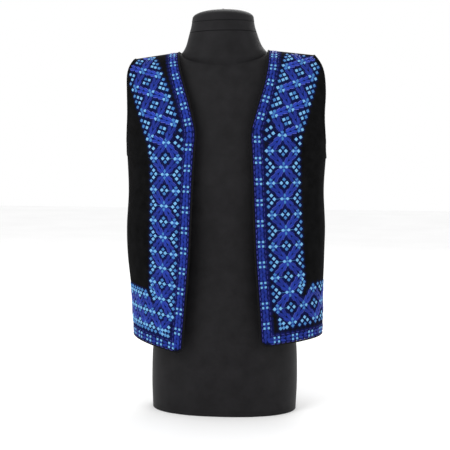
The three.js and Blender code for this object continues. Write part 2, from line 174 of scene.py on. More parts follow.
# %% [markdown]
# ## How the cloth hangs
#
# Real cloth is never as even as a drawing. The hem dips at the front, more on one side than on the other,
# and swings out at the left. The shoulders stand a little askew with the form under them. Soft troughs
# run down the cloth all round. They are written as a short table, one column a trough, so each can
# differ in length, depth and spacing.

# %% Troughs, and the lean of the whole figure
TROUGHS = {
    "azimuth": [-24, 9, 38, 74, 101, 139, 168, 197, 206],
    "width": [7, 8, 10, 9, 12, 9, 8, 7, 8],
    "depth": [2.0, 3.2, 2.2, 2.6, 2.0, 2.8, 3.0, 1.6, 2.4],
    "middle": [400, 380, 330, 300, 420, 350, 400, 300, 420],
    "reach": [90, 120, 110, 90, 120, 130, 120, 80, 70],
}
PUCKER = {"depth": 0.25, "wave": 19.0, "closer_across": 2.2, "slant": 31.0}
CALM = {"from_z": 560.0, "to_z": 640.0}
OUTWARD_BIAS = 40.0
TINY = 1e-9


def smoothly(place, start, end):
    share = np.clip((place - start) / (end - start), 0, 1)
    return share * share * (3 - 2 * share)


def stand_askew(points):
    """Tilts the shoulders and shifts the neck off centre, the same for the form and the vest."""
    points = np.array(points, float)
    x, z = points[..., 0].copy(), points[..., 2].copy()
    points[..., 0] = x + ASKEW["shift"] * smoothly(z, ASKEW["shift_from"], ASKEW["shift_to"])
    points[..., 2] = z + ASKEW["tilt"] * x * smoothly(z, ASKEW["tilt_from"], ASKEW["tilt_to"])
    return points


# %% Hanging and rippling the cloth
def hang(points, facing):
    """Lets the hem dip at the front, ride higher on one side and swing out at the left."""
    share = np.clip((CHEST_Z - points[..., 2]) / (CHEST_Z - HEM["z"]), 0, 1)
    to_front = np.clip(1 - np.abs(points[..., 0]) / HEM["dip_width"], 0, 1) if facing < 0 else 0.0
    dip = np.where(points[..., 0] < 0, HEM["front_dip"]["right"], HEM["front_dip"]["left"])
    tilt = HEM["tilt"] * points[..., 0] / VEST_SECTIONS["width"][0]
    moved = points.copy()
    down = smoothly(SWING["from_z"] - points[..., 2], 0, SWING["from_z"] - HEM["z"])
    beside = np.maximum(points[..., 0], 0) / VEST_SECTIONS["width"][0]
    moved[..., 0] += SWING["out"] * down * beside**3
    moved[..., 2] += share * (tilt - dip * to_front)
    return moved


def ripple(points):
    """How far the cloth stands out from, or sinks below, its pressed shape."""
    x, y, z = points[..., 0], points[..., 1], points[..., 2]
    azimuth = np.degrees(np.arctan2(y, x))
    across = np.sin(x / PUCKER["wave"] * PUCKER["closer_across"])
    total = PUCKER["depth"] * across * np.sin(z / PUCKER["wave"] + x / PUCKER["slant"])
    for centre, width, depth, middle, reach in zip(*TROUGHS.values()):
        off = (azimuth - centre + 180) % 360 - 180
        total = total - depth * np.exp(-((off / width) ** 2) - ((z - middle) / reach) ** 2)
    calm = np.clip((CALM["to_z"] - z) / (CALM["to_z"] - CALM["from_z"]), 0, 1)
    return total * calm


def grid_normals(points, facing_hint):
    """Unit normals of a grid of points, turned to the outside of the body."""
    over = np.gradient(points, axis=1)
    up = np.gradient(points, axis=0)
    normals = np.cross(over, up)
    normals /= np.maximum(np.linalg.norm(normals, axis=-1, keepdims=True), TINY)
    outward = points * np.array([1.0, 1.0, 0.0]) + np.array([0.0, facing_hint * OUTWARD_BIAS, 0.0])
    if np.median(np.sum(normals * outward, axis=-1)) < 0:
        normals = -normals
    return normals


print("troughs in the cloth:", len(TROUGHS["azimuth"]))

# %% [markdown]
# ## A finish for each cloth and thread
#
# Felted wool scatters light in every direction and shows a short, cloudy nap, so its look comes from
# noise at two sizes on a rough, deep black. Embroidery thread is the opposite: smooth strands laid side
# by side, which catch the light along their length. Stripes across each stitched shape, a fraction of a
# millimetre apart, stand for the strands, and darken the thread's colour between them as painted shade
# in the grooves. Everything is made from nodes, with no picture files.

# %% Material helpers
def new_material(name, color, roughness, sheen=0.0, specular=0.5):
    material = bpy.data.materials.new(name)
    material.use_nodes = True
    shader = material.node_tree.nodes["Principled BSDF"]
    shader.inputs["Base Color"].default_value = (*color, 1)
    shader.inputs["Roughness"].default_value = roughness
    shader.inputs["Sheen Weight"].default_value = sheen
    shader.inputs["Sheen Roughness"].default_value = 0.45
    shader.inputs["Specular IOR Level"].default_value = specular
    return material, material.node_tree, shader


def add_node(tree, kind, settings=None):
    """A new node. Settings name either its inputs or its own options."""
    node = tree.nodes.new(kind)
    for key, value in (settings or {}).items():
        if key in node.inputs:
            node.inputs[key].default_value = value
        else:
            setattr(node, key, value)
    return node


def color_between(tree, factor, dark, light, start=0.3, end=0.7):
    """A ramp from a dark colour to a light one."""
    ramp = tree.nodes.new("ShaderNodeValToRGB")
    ramp.color_ramp.elements[0].position = start
    ramp.color_ramp.elements[1].position = end
    ramp.color_ramp.elements[0].color = (*dark, 1)
    ramp.color_ramp.elements[1].color = (*light, 1)
    tree.links.new(factor, ramp.inputs["Fac"])
    return ramp.outputs["Color"]


def noise(tree, scale, detail=3.0, roughness=0.55, vector=None):
    node = add_node(tree, "ShaderNodeTexNoise", {"Scale": scale, "Detail": detail, "Roughness": roughness})
    if vector is None:
        vector = add_node(tree, "ShaderNodeTexCoord").outputs["Object"]
    tree.links.new(vector, node.inputs["Vector"])
    return node.outputs["Fac"]


def bump(tree, shader, height, strength, distance, below=None):
    node = add_node(tree, "ShaderNodeBump", {"Strength": strength, "Distance": distance})
    tree.links.new(height, node.inputs["Height"])
    if below is not None:
        tree.links.new(below, node.inputs["Normal"])
    tree.links.new(node.outputs["Normal"], shader.inputs["Normal"])
    return node.outputs["Normal"]


# %% Black felted wool, with the navy filling stitched into its embroidered parts
def make_wool():
    material, tree, shader = new_material("black_wool_nap", (0.003, 0.003, 0.0033), 0.95, 0.0, 0.04)
    cloud = noise(tree, 55.0, 4.0)
    nap = noise(tree, 900.0, 3.0, 0.7)
    plain = color_between(tree, cloud, (0.0018, 0.0018, 0.0019), (0.0046, 0.0046, 0.0050))
    filling = color_between(tree, nap, (0.0020, 0.0024, 0.012), (0.0065, 0.0130, 0.120), 0.40, 0.62)
    stitched = add_node(tree, "ShaderNodeAttribute", {"attribute_name": "stitched"})
    mix = add_node(tree, "ShaderNodeMix", {"data_type": "RGBA"})
    tree.links.new(stitched.outputs["Fac"], mix.inputs["Factor"])
    tree.links.new(plain, mix.inputs["A"])
    tree.links.new(filling, mix.inputs["B"])
    tree.links.new(mix.outputs["Result"], shader.inputs["Base Color"])
    soft = bump(tree, shader, cloud, 0.25, 0.0012)
    bump(tree, shader, nap, 0.5, 0.0004, soft)
    return material


WOOL = make_wool()
print("finish:", WOOL.name)

# %% [markdown]
# ## The vest's cloth
#
# Each panel is one cut piece. It could be a flat sheet given thickness by a modifier, but a modifier
# knows nothing of seams, so here both faces are made from one grid: the inside is the pressed shape, and
# the outside lies one wall's thickness further out along the surface's own direction. A rim joins the
# two all round, which leaves a closed wall whose edge shows its thickness, like cut felt.

# %% Edges of the panels
EDGE_ROWS = {"v_corner": 13.0, "underarm": 11.0, "armhole_turn": 4.0, "top": 26.0}
HEM_CORNER_RADIUS = 10.0
CAP_MIDDLE = (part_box("form_neck_cap")[0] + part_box("form_neck_cap")[1]) / 2 / MM
HOME = Vector((CAP_MIDDLE.x - ASKEW["shift"], CAP_MIDDLE.y, 0))


def between(low, high, share):
    return low + (high - low) * share


def front_edge(side, row):
    """Height and angle along a front's free edge, which turns into the neckline at the V's corner."""
    corner_z = V_CORNER["z"] + side * V_CORNER["tilt"]
    corner_x = NECKLINE["x"][0]
    power = CREST_POWER["front"]
    corner = rise_to_turn((corner_z - CHEST_Z) / (crest_z(corner_x) - CHEST_Z), power)
    below, above = EDGE_ROWS["v_corner"], EDGE_ROWS["top"] - EDGE_ROWS["v_corner"]
    height = np.where(row <= below, corner * row / below, between(corner, 2, (row - below) / above))
    low_x = on_curve(FRONT_EDGE, "z", "x", between(HEM["z"], CHEST_Z, height))
    high_x = on_curve(NECKLINE, "rise", "x", turn_to_rise(height, power))
    x = np.where(height < 1, low_x, np.where(row <= below, corner_x, high_x))
    return height, angle_of_x(-1, x, height)


def side_edge(facing, row):
    """Height and angle along the side seam and then round the armhole."""
    power = CREST_POWER["front" if facing < 0 else "back"]
    start, turn_rows = EDGE_ROWS["underarm"], EDGE_ROWS["armhole_turn"]
    underarm = (UNDERARM_Z - HEM["z"]) / (CHEST_Z - HEM["z"])
    turn = np.clip((row - start) / turn_rows, 0, 1) * QUARTER
    turning = between(underarm, 1, 1 - np.cos(turn))
    at_chest = np.abs(vest_point(facing, angle_of_x(facing, ARMHOLE["x"][0], 1.0), 1.0)[..., 1])
    deepest = np.abs(vest_point(facing, 0.0, turning)[..., 1])
    turning_angle = np.arccos(np.clip(at_chest * np.sin(turn) / deepest, 0, 1) ** (SECTION_POWER / 2))
    arch = 1 + np.clip((row - start - turn_rows) / (EDGE_ROWS["top"] - start - turn_rows), 0, 1)
    arch_angle = angle_of_x(facing, on_curve(ARMHOLE, "rise", "x", turn_to_rise(arch, power)), arch)
    stages = [row <= start, row < start + turn_rows]
    height = np.select(stages, [underarm * row / start, turning], arch)
    return height, np.select(stages, [np.full_like(row, QUARTER), turning_angle], arch_angle)


def round_hem_corner(points):
    """Rounds the lower front corner by pressing its square on to a quarter circle."""
    corner_x = float(on_curve(FRONT_EDGE, "z", "x", HEM["z"]))
    across = np.abs(points[..., 0]) - corner_x - HEM_CORNER_RADIUS
    up = points[..., 2] - HEM["z"] - HEM_CORNER_RADIUS
    inside = (across < 0) & (up < 0) & (across > -2 * HEM_CORNER_RADIUS)
    longest = np.maximum(-across, -up)
    shrink = np.where(inside, longest / np.maximum(np.hypot(across, up), 1e-6), 1.0)
    moved = points.copy()
    moved[..., 0] += np.sign(points[..., 0]) * across * (shrink - 1)
    moved[..., 2] += up * (shrink - 1)
    return moved


def front_panel(side, rows, columns):
    up, over = np.linspace(0, EDGE_ROWS["top"], rows), np.linspace(0, 1, columns)
    row, share = np.meshgrid(up, over, indexing="ij")
    edge_height, edge_angle = front_edge(side, row)
    outer_height, outer_angle = side_edge(-1, row)
    angle = between(edge_angle, outer_angle, share)
    points = vest_point(-1, angle, between(edge_height, outer_height, share**2))
    points[..., 1] = np.minimum(points[..., 1], -SEAM_GAP / 2)
    points[..., 0] *= side
    return hang(round_hem_corner(points), -1)


def back_panel(rows, columns):
    """The back neck is a half ellipse, so the panel's top row dips between the two shoulder seams."""
    step = np.linspace(-1, 1, columns)
    row, step = np.meshgrid(np.linspace(0, EDGE_ROWS["top"], rows), step, indexing="ij")
    neck_angle = angle_of_x(1, NECK_POINT["x"], 2.0)
    neck_share = neck_angle / angle_of_x(1, ARMHOLE["x"][-1], 2.0)
    turn = np.clip(np.abs(step) * 2, 0, 1) * QUARTER
    beyond = np.clip(np.abs(step) * 2 - 1, 0, 1)
    share = np.where(np.abs(step) <= 0.5, neck_share * np.sin(turn), between(neck_share, 1, beyond))
    top = 2 - BACK_NECK_TURN * np.cos(turn)
    outer_height, outer_angle = side_edge(1, row)
    height = between(top * row / EDGE_ROWS["top"], outer_height, share**2)
    height = np.where(row >= EDGE_ROWS["top"], top, height)
    points = vest_point(1, outer_angle * share, height)
    points[..., 1] = np.maximum(points[..., 1], SEAM_GAP / 2)
    points[..., 0] *= np.sign(step)
    return hang(points, 1)


PANEL_ROWS = 181
PANEL_COLUMNS = {"front": 81, "back": 161}
PANELS = {
    "front_right": front_panel(-1, PANEL_ROWS, PANEL_COLUMNS["front"]),
    "front_left": front_panel(1, PANEL_ROWS, PANEL_COLUMNS["front"]),
    "back": back_panel(PANEL_ROWS, PANEL_COLUMNS["back"]),
}
for name, grid in PANELS.items():
    low, high = grid.reshape(-1, 3).min(axis=0), grid.reshape(-1, 3).max(axis=0)
    print(name, "from", low.round(1), "to", high.round(1))


# %% From grids of points to closed walls
def make_piece(name, points, faces, material, smooth_below=35.0):
    """A mesh piece that rides on the part, from points in millimetres."""
    mesh = bpy.data.meshes.new(name)
    mesh.from_pydata(((stand_askew(points) + HOME) * MM).tolist(), [], [list(f) for f in faces])
    mesh.validate()
    mesh.shade_smooth()
    mesh.set_sharp_from_angle(angle=math.radians(smooth_below))
    mesh.materials.append(material)
    piece = bpy.data.objects.new(name, mesh)
    bpy.context.collection.objects.link(piece)
    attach(piece, "root")
    return piece


def wall_faces(rows, columns):
    """Faces of a closed wall: one grid inside, one outside, and a rim that joins them."""
    at = np.arange(rows * columns).reshape(rows, columns)
    layer = rows * columns
    quads = np.stack([at[:-1, :-1], at[:-1, 1:], at[1:, 1:], at[1:, :-1]], axis=-1).reshape(-1, 4)
    loop = np.concatenate([at[0, :-1], at[:-1, -1], at[-1, :0:-1], at[:0:-1, 0]])
    after = np.roll(loop, -1)
    rim = np.stack([loop, after, after + layer, loop + layer], axis=-1)
    return np.concatenate([quads + layer, quads[:, ::-1], rim])


def cloth_faces(grid):
    """Inside and outside of a cloth panel after its ripples, with the normals between them."""
    facing = -1 if grid[..., 1].mean() < 0 else 1
    normals = grid_normals(grid, facing)
    rippled = grid + normals * ripple(grid)[..., None]
    normals = grid_normals(rippled, facing)
    on_seam = np.abs(grid[..., 1]) <= SEAM_GAP
    normals[on_seam, 1] = 0
    normals /= np.linalg.norm(normals, axis=-1, keepdims=True)
    return rippled, rippled + normals * WALL, normals


def turned_outward(faces, points, reference):
    """Flips every face if the first one faces away from the given direction."""
    a, b, c = (points[faces[0][k]] for k in range(3))
    return faces[:, ::-1] if np.dot(np.cross(b - a, c - a), reference) < 0 else faces


def make_cloth(name, grid):
    inside, outside, normals = cloth_faces(grid)
    rows, columns = grid.shape[:2]
    points = np.concatenate([inside.reshape(-1, 3), outside.reshape(-1, 3)])
    faces = turned_outward(wall_faces(rows, columns), points, normals[0, 0])
    piece = make_piece(name, points, faces, WOOL)
    return piece, outside


CLOTH = {}
OUTSIDE = {}
for name, grid in PANELS.items():
    CLOTH[name], OUTSIDE[name] = make_cloth("vest_" + name, grid)
    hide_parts(name)
    print(CLOTH[name].name, "has", len(CLOTH[name].data.polygons), "faces")

# %% [markdown]
# A cut size can't be read off a worn garment; a tailor would lay the pieces out as two fronts and one back.


# %% [markdown]
# ## Corded piping
#
# A round cord, covered in a strip of the same cloth, is sewn along every raw edge: one long one round the
# back neck, both fronts and the hem, and one round each armhole. A curve with a bevel would do, but its
# cross-section has to follow the cloth's own direction at each stop, so rings are placed one by one along
# the cloth's edge instead, with a slow twist pressed into the cord.

# %% Piping along an edge
PIPING = {
    "radius": 1.7, "gap": 0.4, "lift": 2.0, "sides": 14, "twist": 0.06, "twist_length": 7.0,
    "stops_apart": 0.8, "longest_mitre": 1.6, "sharpest_turn": 0.5,
}


def make_piping_finish():
    material, tree, shader = new_material("piping_cord_cover", (0.004, 0.004, 0.0045), 0.8, 0.02, 0.08)
    place = add_node(tree, "ShaderNodeTexCoord").outputs["Object"]
    grain = noise(tree, 700.0, 2.0, 0.7, place)
    tree.links.new(color_between(tree, grain, (0.0018, 0.0018, 0.0021), (0.0065, 0.0065, 0.0072)),
                   shader.inputs["Base Color"])
    bump(tree, shader, grain, 0.5, 0.0003)
    return material


PIPING_FINISH = make_piping_finish()
EDGES = {}
for name, grid in PANELS.items():
    inside, outside, normals = cloth_faces(grid)
    EDGES[name] = (between(inside, outside, PIPING["lift"] / WALL), normals)


def edge_run(panel, rows, columns):
    """Points and cloth normals along one edge of a panel."""
    points, normals = EDGES[panel]
    return points[rows, columns], normals[rows, columns]


def make_cord(name, runs, inward):
    """A closed ring of cord beside the cloth's edge, from runs of edge points laid end to end."""
    stops = np.concatenate([run[0] for run in runs])
    normals = np.concatenate([run[1] for run in runs])
    apart = np.linalg.norm(stops - np.roll(stops, 1, axis=0), axis=1) > PIPING["stops_apart"]
    stops, normals = stops[apart], normals[apart]
    into = stops - np.roll(stops, 1, axis=0)
    onward = np.roll(stops, -1, axis=0) - stops
    tangent = into / np.linalg.norm(into, axis=1, keepdims=True)
    onward = onward / np.linalg.norm(onward, axis=1, keepdims=True)
    tangent = tangent + onward
    tangent /= np.linalg.norm(tangent, axis=1, keepdims=True)
    outward = np.cross(tangent, normals) * inward
    outward /= np.linalg.norm(outward, axis=1, keepdims=True)
    straightness = np.maximum(PIPING["sharpest_turn"], np.sum(tangent * onward, axis=1))
    mitre = np.minimum(PIPING["longest_mitre"], 1 / straightness)
    centres = stops + outward * ((PIPING["radius"] + PIPING["gap"]) * mitre)[:, None]
    along = np.concatenate([[0], np.cumsum(np.linalg.norm(np.diff(centres, axis=0), axis=1))])
    turn = np.linspace(0, 2 * math.pi, PIPING["sides"], endpoint=False)
    twist = np.sin(2 * turn[None, :] + along[:, None] * 2 * math.pi / PIPING["twist_length"])
    radius = PIPING["radius"] * (1 + PIPING["twist"] * (twist - 1))
    points = (centres[:, None] + outward[:, None] * (radius * np.cos(turn))[..., None]
              + normals[:, None] * (radius * np.sin(turn))[..., None])
    at = np.arange(points.shape[0] * points.shape[1]).reshape(points.shape[:2])
    ahead, over = np.roll(at, -1, axis=0), np.roll(at, -1, axis=1)
    faces = np.stack([at, ahead, np.roll(ahead, -1, axis=1), over], axis=-1).reshape(-1, 4)
    first = np.cross(points[0, 1] - points[0, 0], points[1, 0] - points[0, 0])
    if np.dot(first, points[0, 0] - centres[0]) > 0:
        faces = faces[:, ::-1]
    piece = make_piece("vest_" + name, points.reshape(-1, 3), faces, PIPING_FINISH, 60)
    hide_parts(name)
    print(piece.name, "runs", round(float(along[-1])), "mm")
    return piece


last, wide, broad = PANEL_ROWS - 1, PANEL_COLUMNS["front"] - 1, PANEL_COLUMNS["back"] - 1
neck_from, neck_to = broad // 4, broad - broad // 4
underarm_row = round(last * EDGE_ROWS["underarm"] / EDGE_ROWS["top"])
make_cord("edge_piping", [
    edge_run("back", last, slice(neck_from, neck_to + 1)),
    edge_run("front_left", slice(last - 1, 0, -1), 0),
    edge_run("front_left", 0, slice(0, wide)),
    edge_run("back", 0, slice(broad, None, -1)),
    edge_run("front_right", 0, slice(wide - 1, None, -1)),
    edge_run("front_right", slice(1, last), 0),
], 1)
for side_name, column, inward in (("right", 0, -1), ("left", broad, 1)):
    make_cord("armhole_piping_" + side_name, [
        edge_run("front_" + side_name, slice(underarm_row, last + 1), wide),
        edge_run("back", slice(last - 1, underarm_row, -1), column),
    ], inward)

# %% [markdown]
# ## A map of the cloth
#
# Embroidery is planned on flat paper and sewn on curved cloth. The same is done here: a map gives, for
# each place on the chart, the point of the cloth under it. The lower map counts millimetres along the
# cloth from the front edge, round the side seam and past the middle of the back. The upper map counts
# distance from the wearer's middle, and length up over the shoulder.

# %% Even spacing on a map
MAP_STEP = 2.0
SIDES = {"right": -1, "left": 1}


def resampled(values, lengths, wanted):
    return np.stack([np.interp(wanted, lengths, values[:, k]) for k in range(3)], axis=-1)


def finished_map(points, lengths, wanted, along_rows, origin, facing_hint):
    """Adds the ripples, then spaces the points evenly along each line of the map."""
    normals = grid_normals(points, facing_hint)
    points = points + normals * ripple(points)[..., None]
    normals = grid_normals(points, facing_hint)
    if not along_rows:
        points, normals, lengths = (np.swapaxes(v, 0, 1) for v in (points, normals, lengths))
    even = [np.stack([resampled(line, length, wanted) for line, length in zip(v, lengths)])
            for v in (points, normals)]
    if not along_rows:
        even = [np.swapaxes(v, 0, 1) for v in even]
    even[1] /= np.maximum(np.linalg.norm(even[1], axis=-1, keepdims=True), TINY)
    return {"points": even[0], "normals": even[1], "origin": origin}


# %% The lower map
LOWER_TO_Z = 548.0
LOWER_GRID = {"front": 160, "back": 280, "past_middle": -0.35}


def make_lower_map(side):
    z = np.arange(HEM["z"], LOWER_TO_Z, MAP_STEP)
    rise = (z - CHEST_Z) / (NECK_POINT["z"] - CHEST_Z)
    arch = rise_to_turn(rise, CREST_POWER["front"])
    height = np.where(z <= CHEST_Z, (z - HEM["z"]) / (CHEST_Z - HEM["z"]), arch)[:, None]
    start = angle_of_x(-1, on_curve(FRONT_EDGE, "z", "x", z), height[:, 0])[:, None]
    over_front, over_back = (np.linspace(0, 1, LOWER_GRID[part])[None] for part in ("front", "back"))
    front = vest_point(-1, between(start, QUARTER, over_front), height)
    back = vest_point(1, between(QUARTER, LOWER_GRID["past_middle"], over_back), height)
    front[..., 1] = np.minimum(front[..., 1], -SEAM_GAP / 2)
    back[..., 1] = np.maximum(back[..., 1], SEAM_GAP / 2)
    flat = np.concatenate([front, back], axis=1)
    steps = np.linalg.norm(np.diff(flat, axis=1), axis=-1)
    lengths = np.concatenate([np.zeros((len(z), 1)), np.cumsum(steps, axis=1)], axis=1)
    split = LOWER_GRID["front"]
    seam = lengths[:, split - 1]
    middle = np.array([np.interp(0, -row[split:, 0], s[split:]) for row, s in zip(flat, lengths)])
    flat[..., 0] *= side
    hung = np.concatenate([hang(flat[:, :split], -1), hang(flat[:, split:], 1)], axis=1)
    wanted = np.arange(0, lengths[:, -1].min(), MAP_STEP)
    chart = finished_map(hung, lengths, wanted, True, (0.0, HEM["z"]), 0)
    return chart | {"side": side, "z": z, "seam": seam, "middle": middle}


# %% The upper map
UPPER_FROM = {"x": 44.0, "z": 480.0}
UPPER_TO_X = 197.0
UPPER_GRID = {"below_chest": 20, "above_chest": 160}


def make_upper_map(side):
    x = np.arange(UPPER_FROM["x"], UPPER_TO_X, MAP_STEP)
    low = (UPPER_FROM["z"] - HEM["z"]) / (CHEST_Z - HEM["z"])
    below = np.linspace(low, 1, UPPER_GRID["below_chest"], endpoint=False)
    height = np.concatenate([below, np.linspace(1, 2, UPPER_GRID["above_chest"])])[:, None]
    flat = vest_point(-1, angle_of_x(-1, x[None], height), height)
    steps = np.linalg.norm(np.diff(flat, axis=0), axis=-1)
    lengths = np.concatenate([np.zeros((1, len(x))), np.cumsum(steps, axis=0)])
    lengths += CHEST_Z - lengths[UPPER_GRID["below_chest"]]
    top = lengths[-1]
    flat[..., 0] *= side
    hung = hang(flat, -1)
    wanted = np.arange(UPPER_FROM["z"], top.max(), MAP_STEP)
    chart = finished_map(hung, lengths, wanted, False, (UPPER_FROM["x"], UPPER_FROM["z"]), -1)
    return chart | {"side": side, "x": x, "top": top, "height": height[:, 0], "lengths": lengths}


# %% Make both maps for each side
LOWER = {name: make_lower_map(side) for name, side in SIDES.items()}
UPPER = {name: make_upper_map(side) for name, side in SIDES.items()}


def seam_at(b):
    """How far along the cloth the side seam lies, at one height of the lower map."""
    return np.interp(b, LOWER["left"]["z"], LOWER["left"]["seam"])


def back_middle_at(b):
    """The same for the middle of the back."""
    return np.interp(b, LOWER["left"]["z"], LOWER["left"]["middle"])


for b in (160, 240):
    print("at height", b, "the side seam is", round(seam_at(b)), "mm along the cloth from the front edge",
          "and the middle of the back", round(back_middle_at(b)))


# %% Read a place off a map
CELLS_BEYOND = 4
LEAST_STRETCH = 0.35


def on_map(chart, a, b):
    """Points and normals of the cloth's inside at places on a map, between its grid points."""
    grid, normals = chart["points"], chart["normals"]
    col, row = (a - chart["origin"][0]) / MAP_STEP, (b - chart["origin"][1]) / MAP_STEP
    i = np.clip(np.floor(row).astype(int), 0, grid.shape[0] - 2)
    j = np.clip(np.floor(col).astype(int), 0, grid.shape[1] - 2)
    s, t = (np.clip(v, -CELLS_BEYOND, CELLS_BEYOND + 1)[..., None] for v in (row - i, col - j))
    both = []
    for field in (grid, normals):
        low = between(field[i, j], field[i, j + 1], t)
        high = between(field[i + 1, j], field[i + 1, j + 1], t)
        both.append(between(low, high, s))
    both[1] /= np.linalg.norm(both[1], axis=-1, keepdims=True)
    return both


def map_stretch(chart, a, b):
    """How many millimetres of cloth one unit of the map covers, across and up."""
    reach = MAP_STEP
    across = on_map(chart, a + reach, b)[0] - on_map(chart, a - reach, b)[0]
    up = on_map(chart, a, b + reach)[0] - on_map(chart, a, b - reach)[0]
    return [np.maximum(np.linalg.norm(v, axis=-1) / (2 * reach), LEAST_STRETCH) for v in (across, up)]

# %% [markdown]
# ## Stitches
#
# Every shape in the embroidery is satin stitch: threads laid side by side until they stand up as a small
# shiny cushion. There are three kinds here, a square, a pointed leaf and a straight bar. Each is a closed
# cushion made once from a few rows of points, then set down many times on the map, turned and sized.

# %% Shapes of a stitch
STITCH_HEIGHT = {"square": 0.9, "leaf": 1.0, "bar": 0.7}
SUNK = 0.15


def stitch_shape(kind, across, along, fullness):
    """Points from -1 to 1 with their height, and faces, of a cushion closed underneath.

    A square narrows a little at its ends, a leaf comes to two points, and a bar is rounded off."""
    s, t = np.meshgrid(np.linspace(-1, 1, across + 1), np.linspace(-1, 1, along + 1))
    s, t = (np.sign(v) * np.abs(v) ** fullness for v in (s, t))
    lift = np.sqrt(np.clip((1 - np.abs(s) ** 5) * (1 - np.abs(t) ** 5), 0, 1))
    width = {
        "square": 1 - 0.05 * t**2,
        "leaf": np.sqrt(np.clip(1.03 - np.abs(t) ** 1.7, 0.03, 1)),
        "bar": 1 - 0.25 * np.abs(t) ** 6,
    }[kind]
    height = lift * (STITCH_HEIGHT[kind] + SUNK) - SUNK
    points = np.stack([s * width, t, height], axis=-1).reshape(-1, 3)
    at = np.arange((across + 1) * (along + 1)).reshape(along + 1, across + 1)
    faces = np.stack([at[:-1, :-1], at[:-1, 1:], at[1:, 1:], at[1:, :-1]], axis=-1).reshape(-1, 4)
    rim = np.concatenate([at[0, :-1], at[:-1, -1], at[-1, :0:-1], at[:0:-1, 0]])
    return points, faces, rim[::-1]


SHAPES = {
    "square": stitch_shape("square", 4, 4, 0.28),
    "leaf": stitch_shape("leaf", 4, 6, 0.75),
    "bar": stitch_shape("bar", 2, 4, 0.6),
}
SEWN = {}
STITCHED_AT = {}


def new_pile():
    """What has been sewn on one panel with one thread."""
    return {"points": [], "faces": [], "strand": [], "painted_sheen": [], "count": 0}


def sew(chart, panel, thread, kind, a, b, turn, length, width, painted_sheen=0.5):
    """Sets down many stitches of one kind. A turn of 0 lays the length up the map."""
    a, b, turn, length, width, painted_sheen = (np.atleast_1d(v).astype(float).ravel()
                                       for v in np.broadcast_arrays(a, b, turn, length, width, painted_sheen))
    if not len(a):
        return
    shape, faces, rim = SHAPES[kind]
    p = shape[None, :, 0] * width[:, None] / 2
    q = shape[None, :, 1] * length[:, None] / 2
    cos, sin = np.cos(turn)[:, None], np.sin(turn)[:, None]
    across, up = map_stretch(chart, a, b)
    x = a[:, None] + (p * cos - q * sin) / across[:, None]
    y = b[:, None] + (p * sin + q * cos) / up[:, None]
    points, normals = on_map(chart, x, y)
    points = points + normals * (WALL + shape[None, :, 2:3])
    pile = SEWN.setdefault((panel, thread), new_pile())
    start = pile["count"] + np.arange(len(a)) * len(shape)
    quads, under = (faces[:, ::-1], rim[::-1]) if chart["side"] < 0 else (faces, rim)
    pile["faces"] += (start[:, None, None] + quads[None]).reshape(-1, 4).tolist()
    pile["faces"] += (start[:, None] + under[None]).tolist()
    pile["points"].append(points.reshape(-1, 3))
    STITCHED_AT.setdefault(panel, []).append(stand_askew(points.mean(axis=1)))
    pile["strand"].append(np.stack([p, q], axis=-1).reshape(-1, 2))
    # Painted light and shade: each stitch's painted sheen sets its colour between the thread's shaded and
    # lit copies.
    pile["painted_sheen"].append(np.repeat(painted_sheen, len(shape)))
    pile["count"] += len(a) * len(shape)


for kind, (points, faces, rim) in SHAPES.items():
    print(kind, "has", len(points), "points and", 2 * len(faces) + len(rim) - 2, "triangles")

# %% [markdown]
# ## The lattice and its cells
#
# The whole design is one slanting lattice of wheat-ear arms. Where arms cross there is a knot of four
# small diamonds round a blue cross; each open cell holds four diamonds on bare ground; and where a
# border cuts a cell in half, the half is filled with a triangle of six. Places inside a cell are given
# as shares of the lattice's own steps, so the same motifs fit the straight lattice of the fronts, the
# closer one above the hem, and the leaning one over the chest.

# %% Sizes of the motifs, as shares of a cell
DIAMOND = 5.7
# Painted light and shade: a painted sheen of 1 paints a diamond lit, 0 shaded, for the way its stitches
# run.
FOUR = {"across": [0.22, -0.22, 0.0, 0.0], "up": [0.0, 0.0, 0.215, -0.215], "painted_sheen": [1, 1, 0, 0]}
HALF = {
    "across": [0.21, 0.0, 0.0, -0.23, -0.23, -0.23],
    "up": [0.0, 0.23, -0.23, 0.46, 0.0, -0.46],
    "painted_sheen": [1, 1, 1, 0.1, 0, 0.1],
}
# Painted light and shade on the leaves: a base painted sheen, more on the first pair of each arm, and
# painted light added where an arm rises outward.
ARM = {
    "clear": 6.2, "pairs": 2, "spread": 0.25, "beside": 3.0, "width": 5.6, "length": 0.70,
    "painted_sheen": 0.18, "other_painted_sheen": 0.22, "painted_light_low": 0.16, "painted_light_high": 0.42,
}
ARM_OUTLINE = {"width": 1.3, "length": 0.5, "outside": 0.1, "behind": 0.8, "painted_sheen": 0.15}
CROSS_TURN = 0.72
CROSS = {
    "royal_blue": {"length": 13.0, "width": 2.6, "painted_sheen": 0.55},
    "sky_blue": {"length": 7.5, "width": 2.8, "painted_sheen": 0.0},
}
LINK = {"width": 0.9, "painted_sheen": 0.2, "from_knot": 6.8, "from_open_knot": 6.6, "from_half": 0.75}
BENDS_AT = -6  # the row above which a lattice may lean and spread


# %% Places on a lattice
def panel_at(chart, place, upper):
    """The panel under a place: past the side seam the lower map lies on the back."""
    side = "right" if chart["side"] < 0 else "left"
    return "back" if not upper and place[0] > seam_at(place[1]) else "front_" + side


def lattice_place(lattice, i, j):
    """The middle of a cell. Rows may fan out, and columns beyond the first one out stand evenly."""
    (a, b), (ra, rb), (ca, cb) = lattice["origin"], lattice["across"], lattice["up"]
    above = max(0, j - BENDS_AT)
    a += above * lattice.get("bend", 0.0)
    fanned = ra * (1 + lattice.get("fan", 0.0) * j) + above * lattice.get("spread", 0.0)
    outer = max(0, i - 1) * lattice.get("outer_column", ra)
    return np.array([a + min(i, 1) * fanned + outer + j * ca, b + i * rb + j * cb])


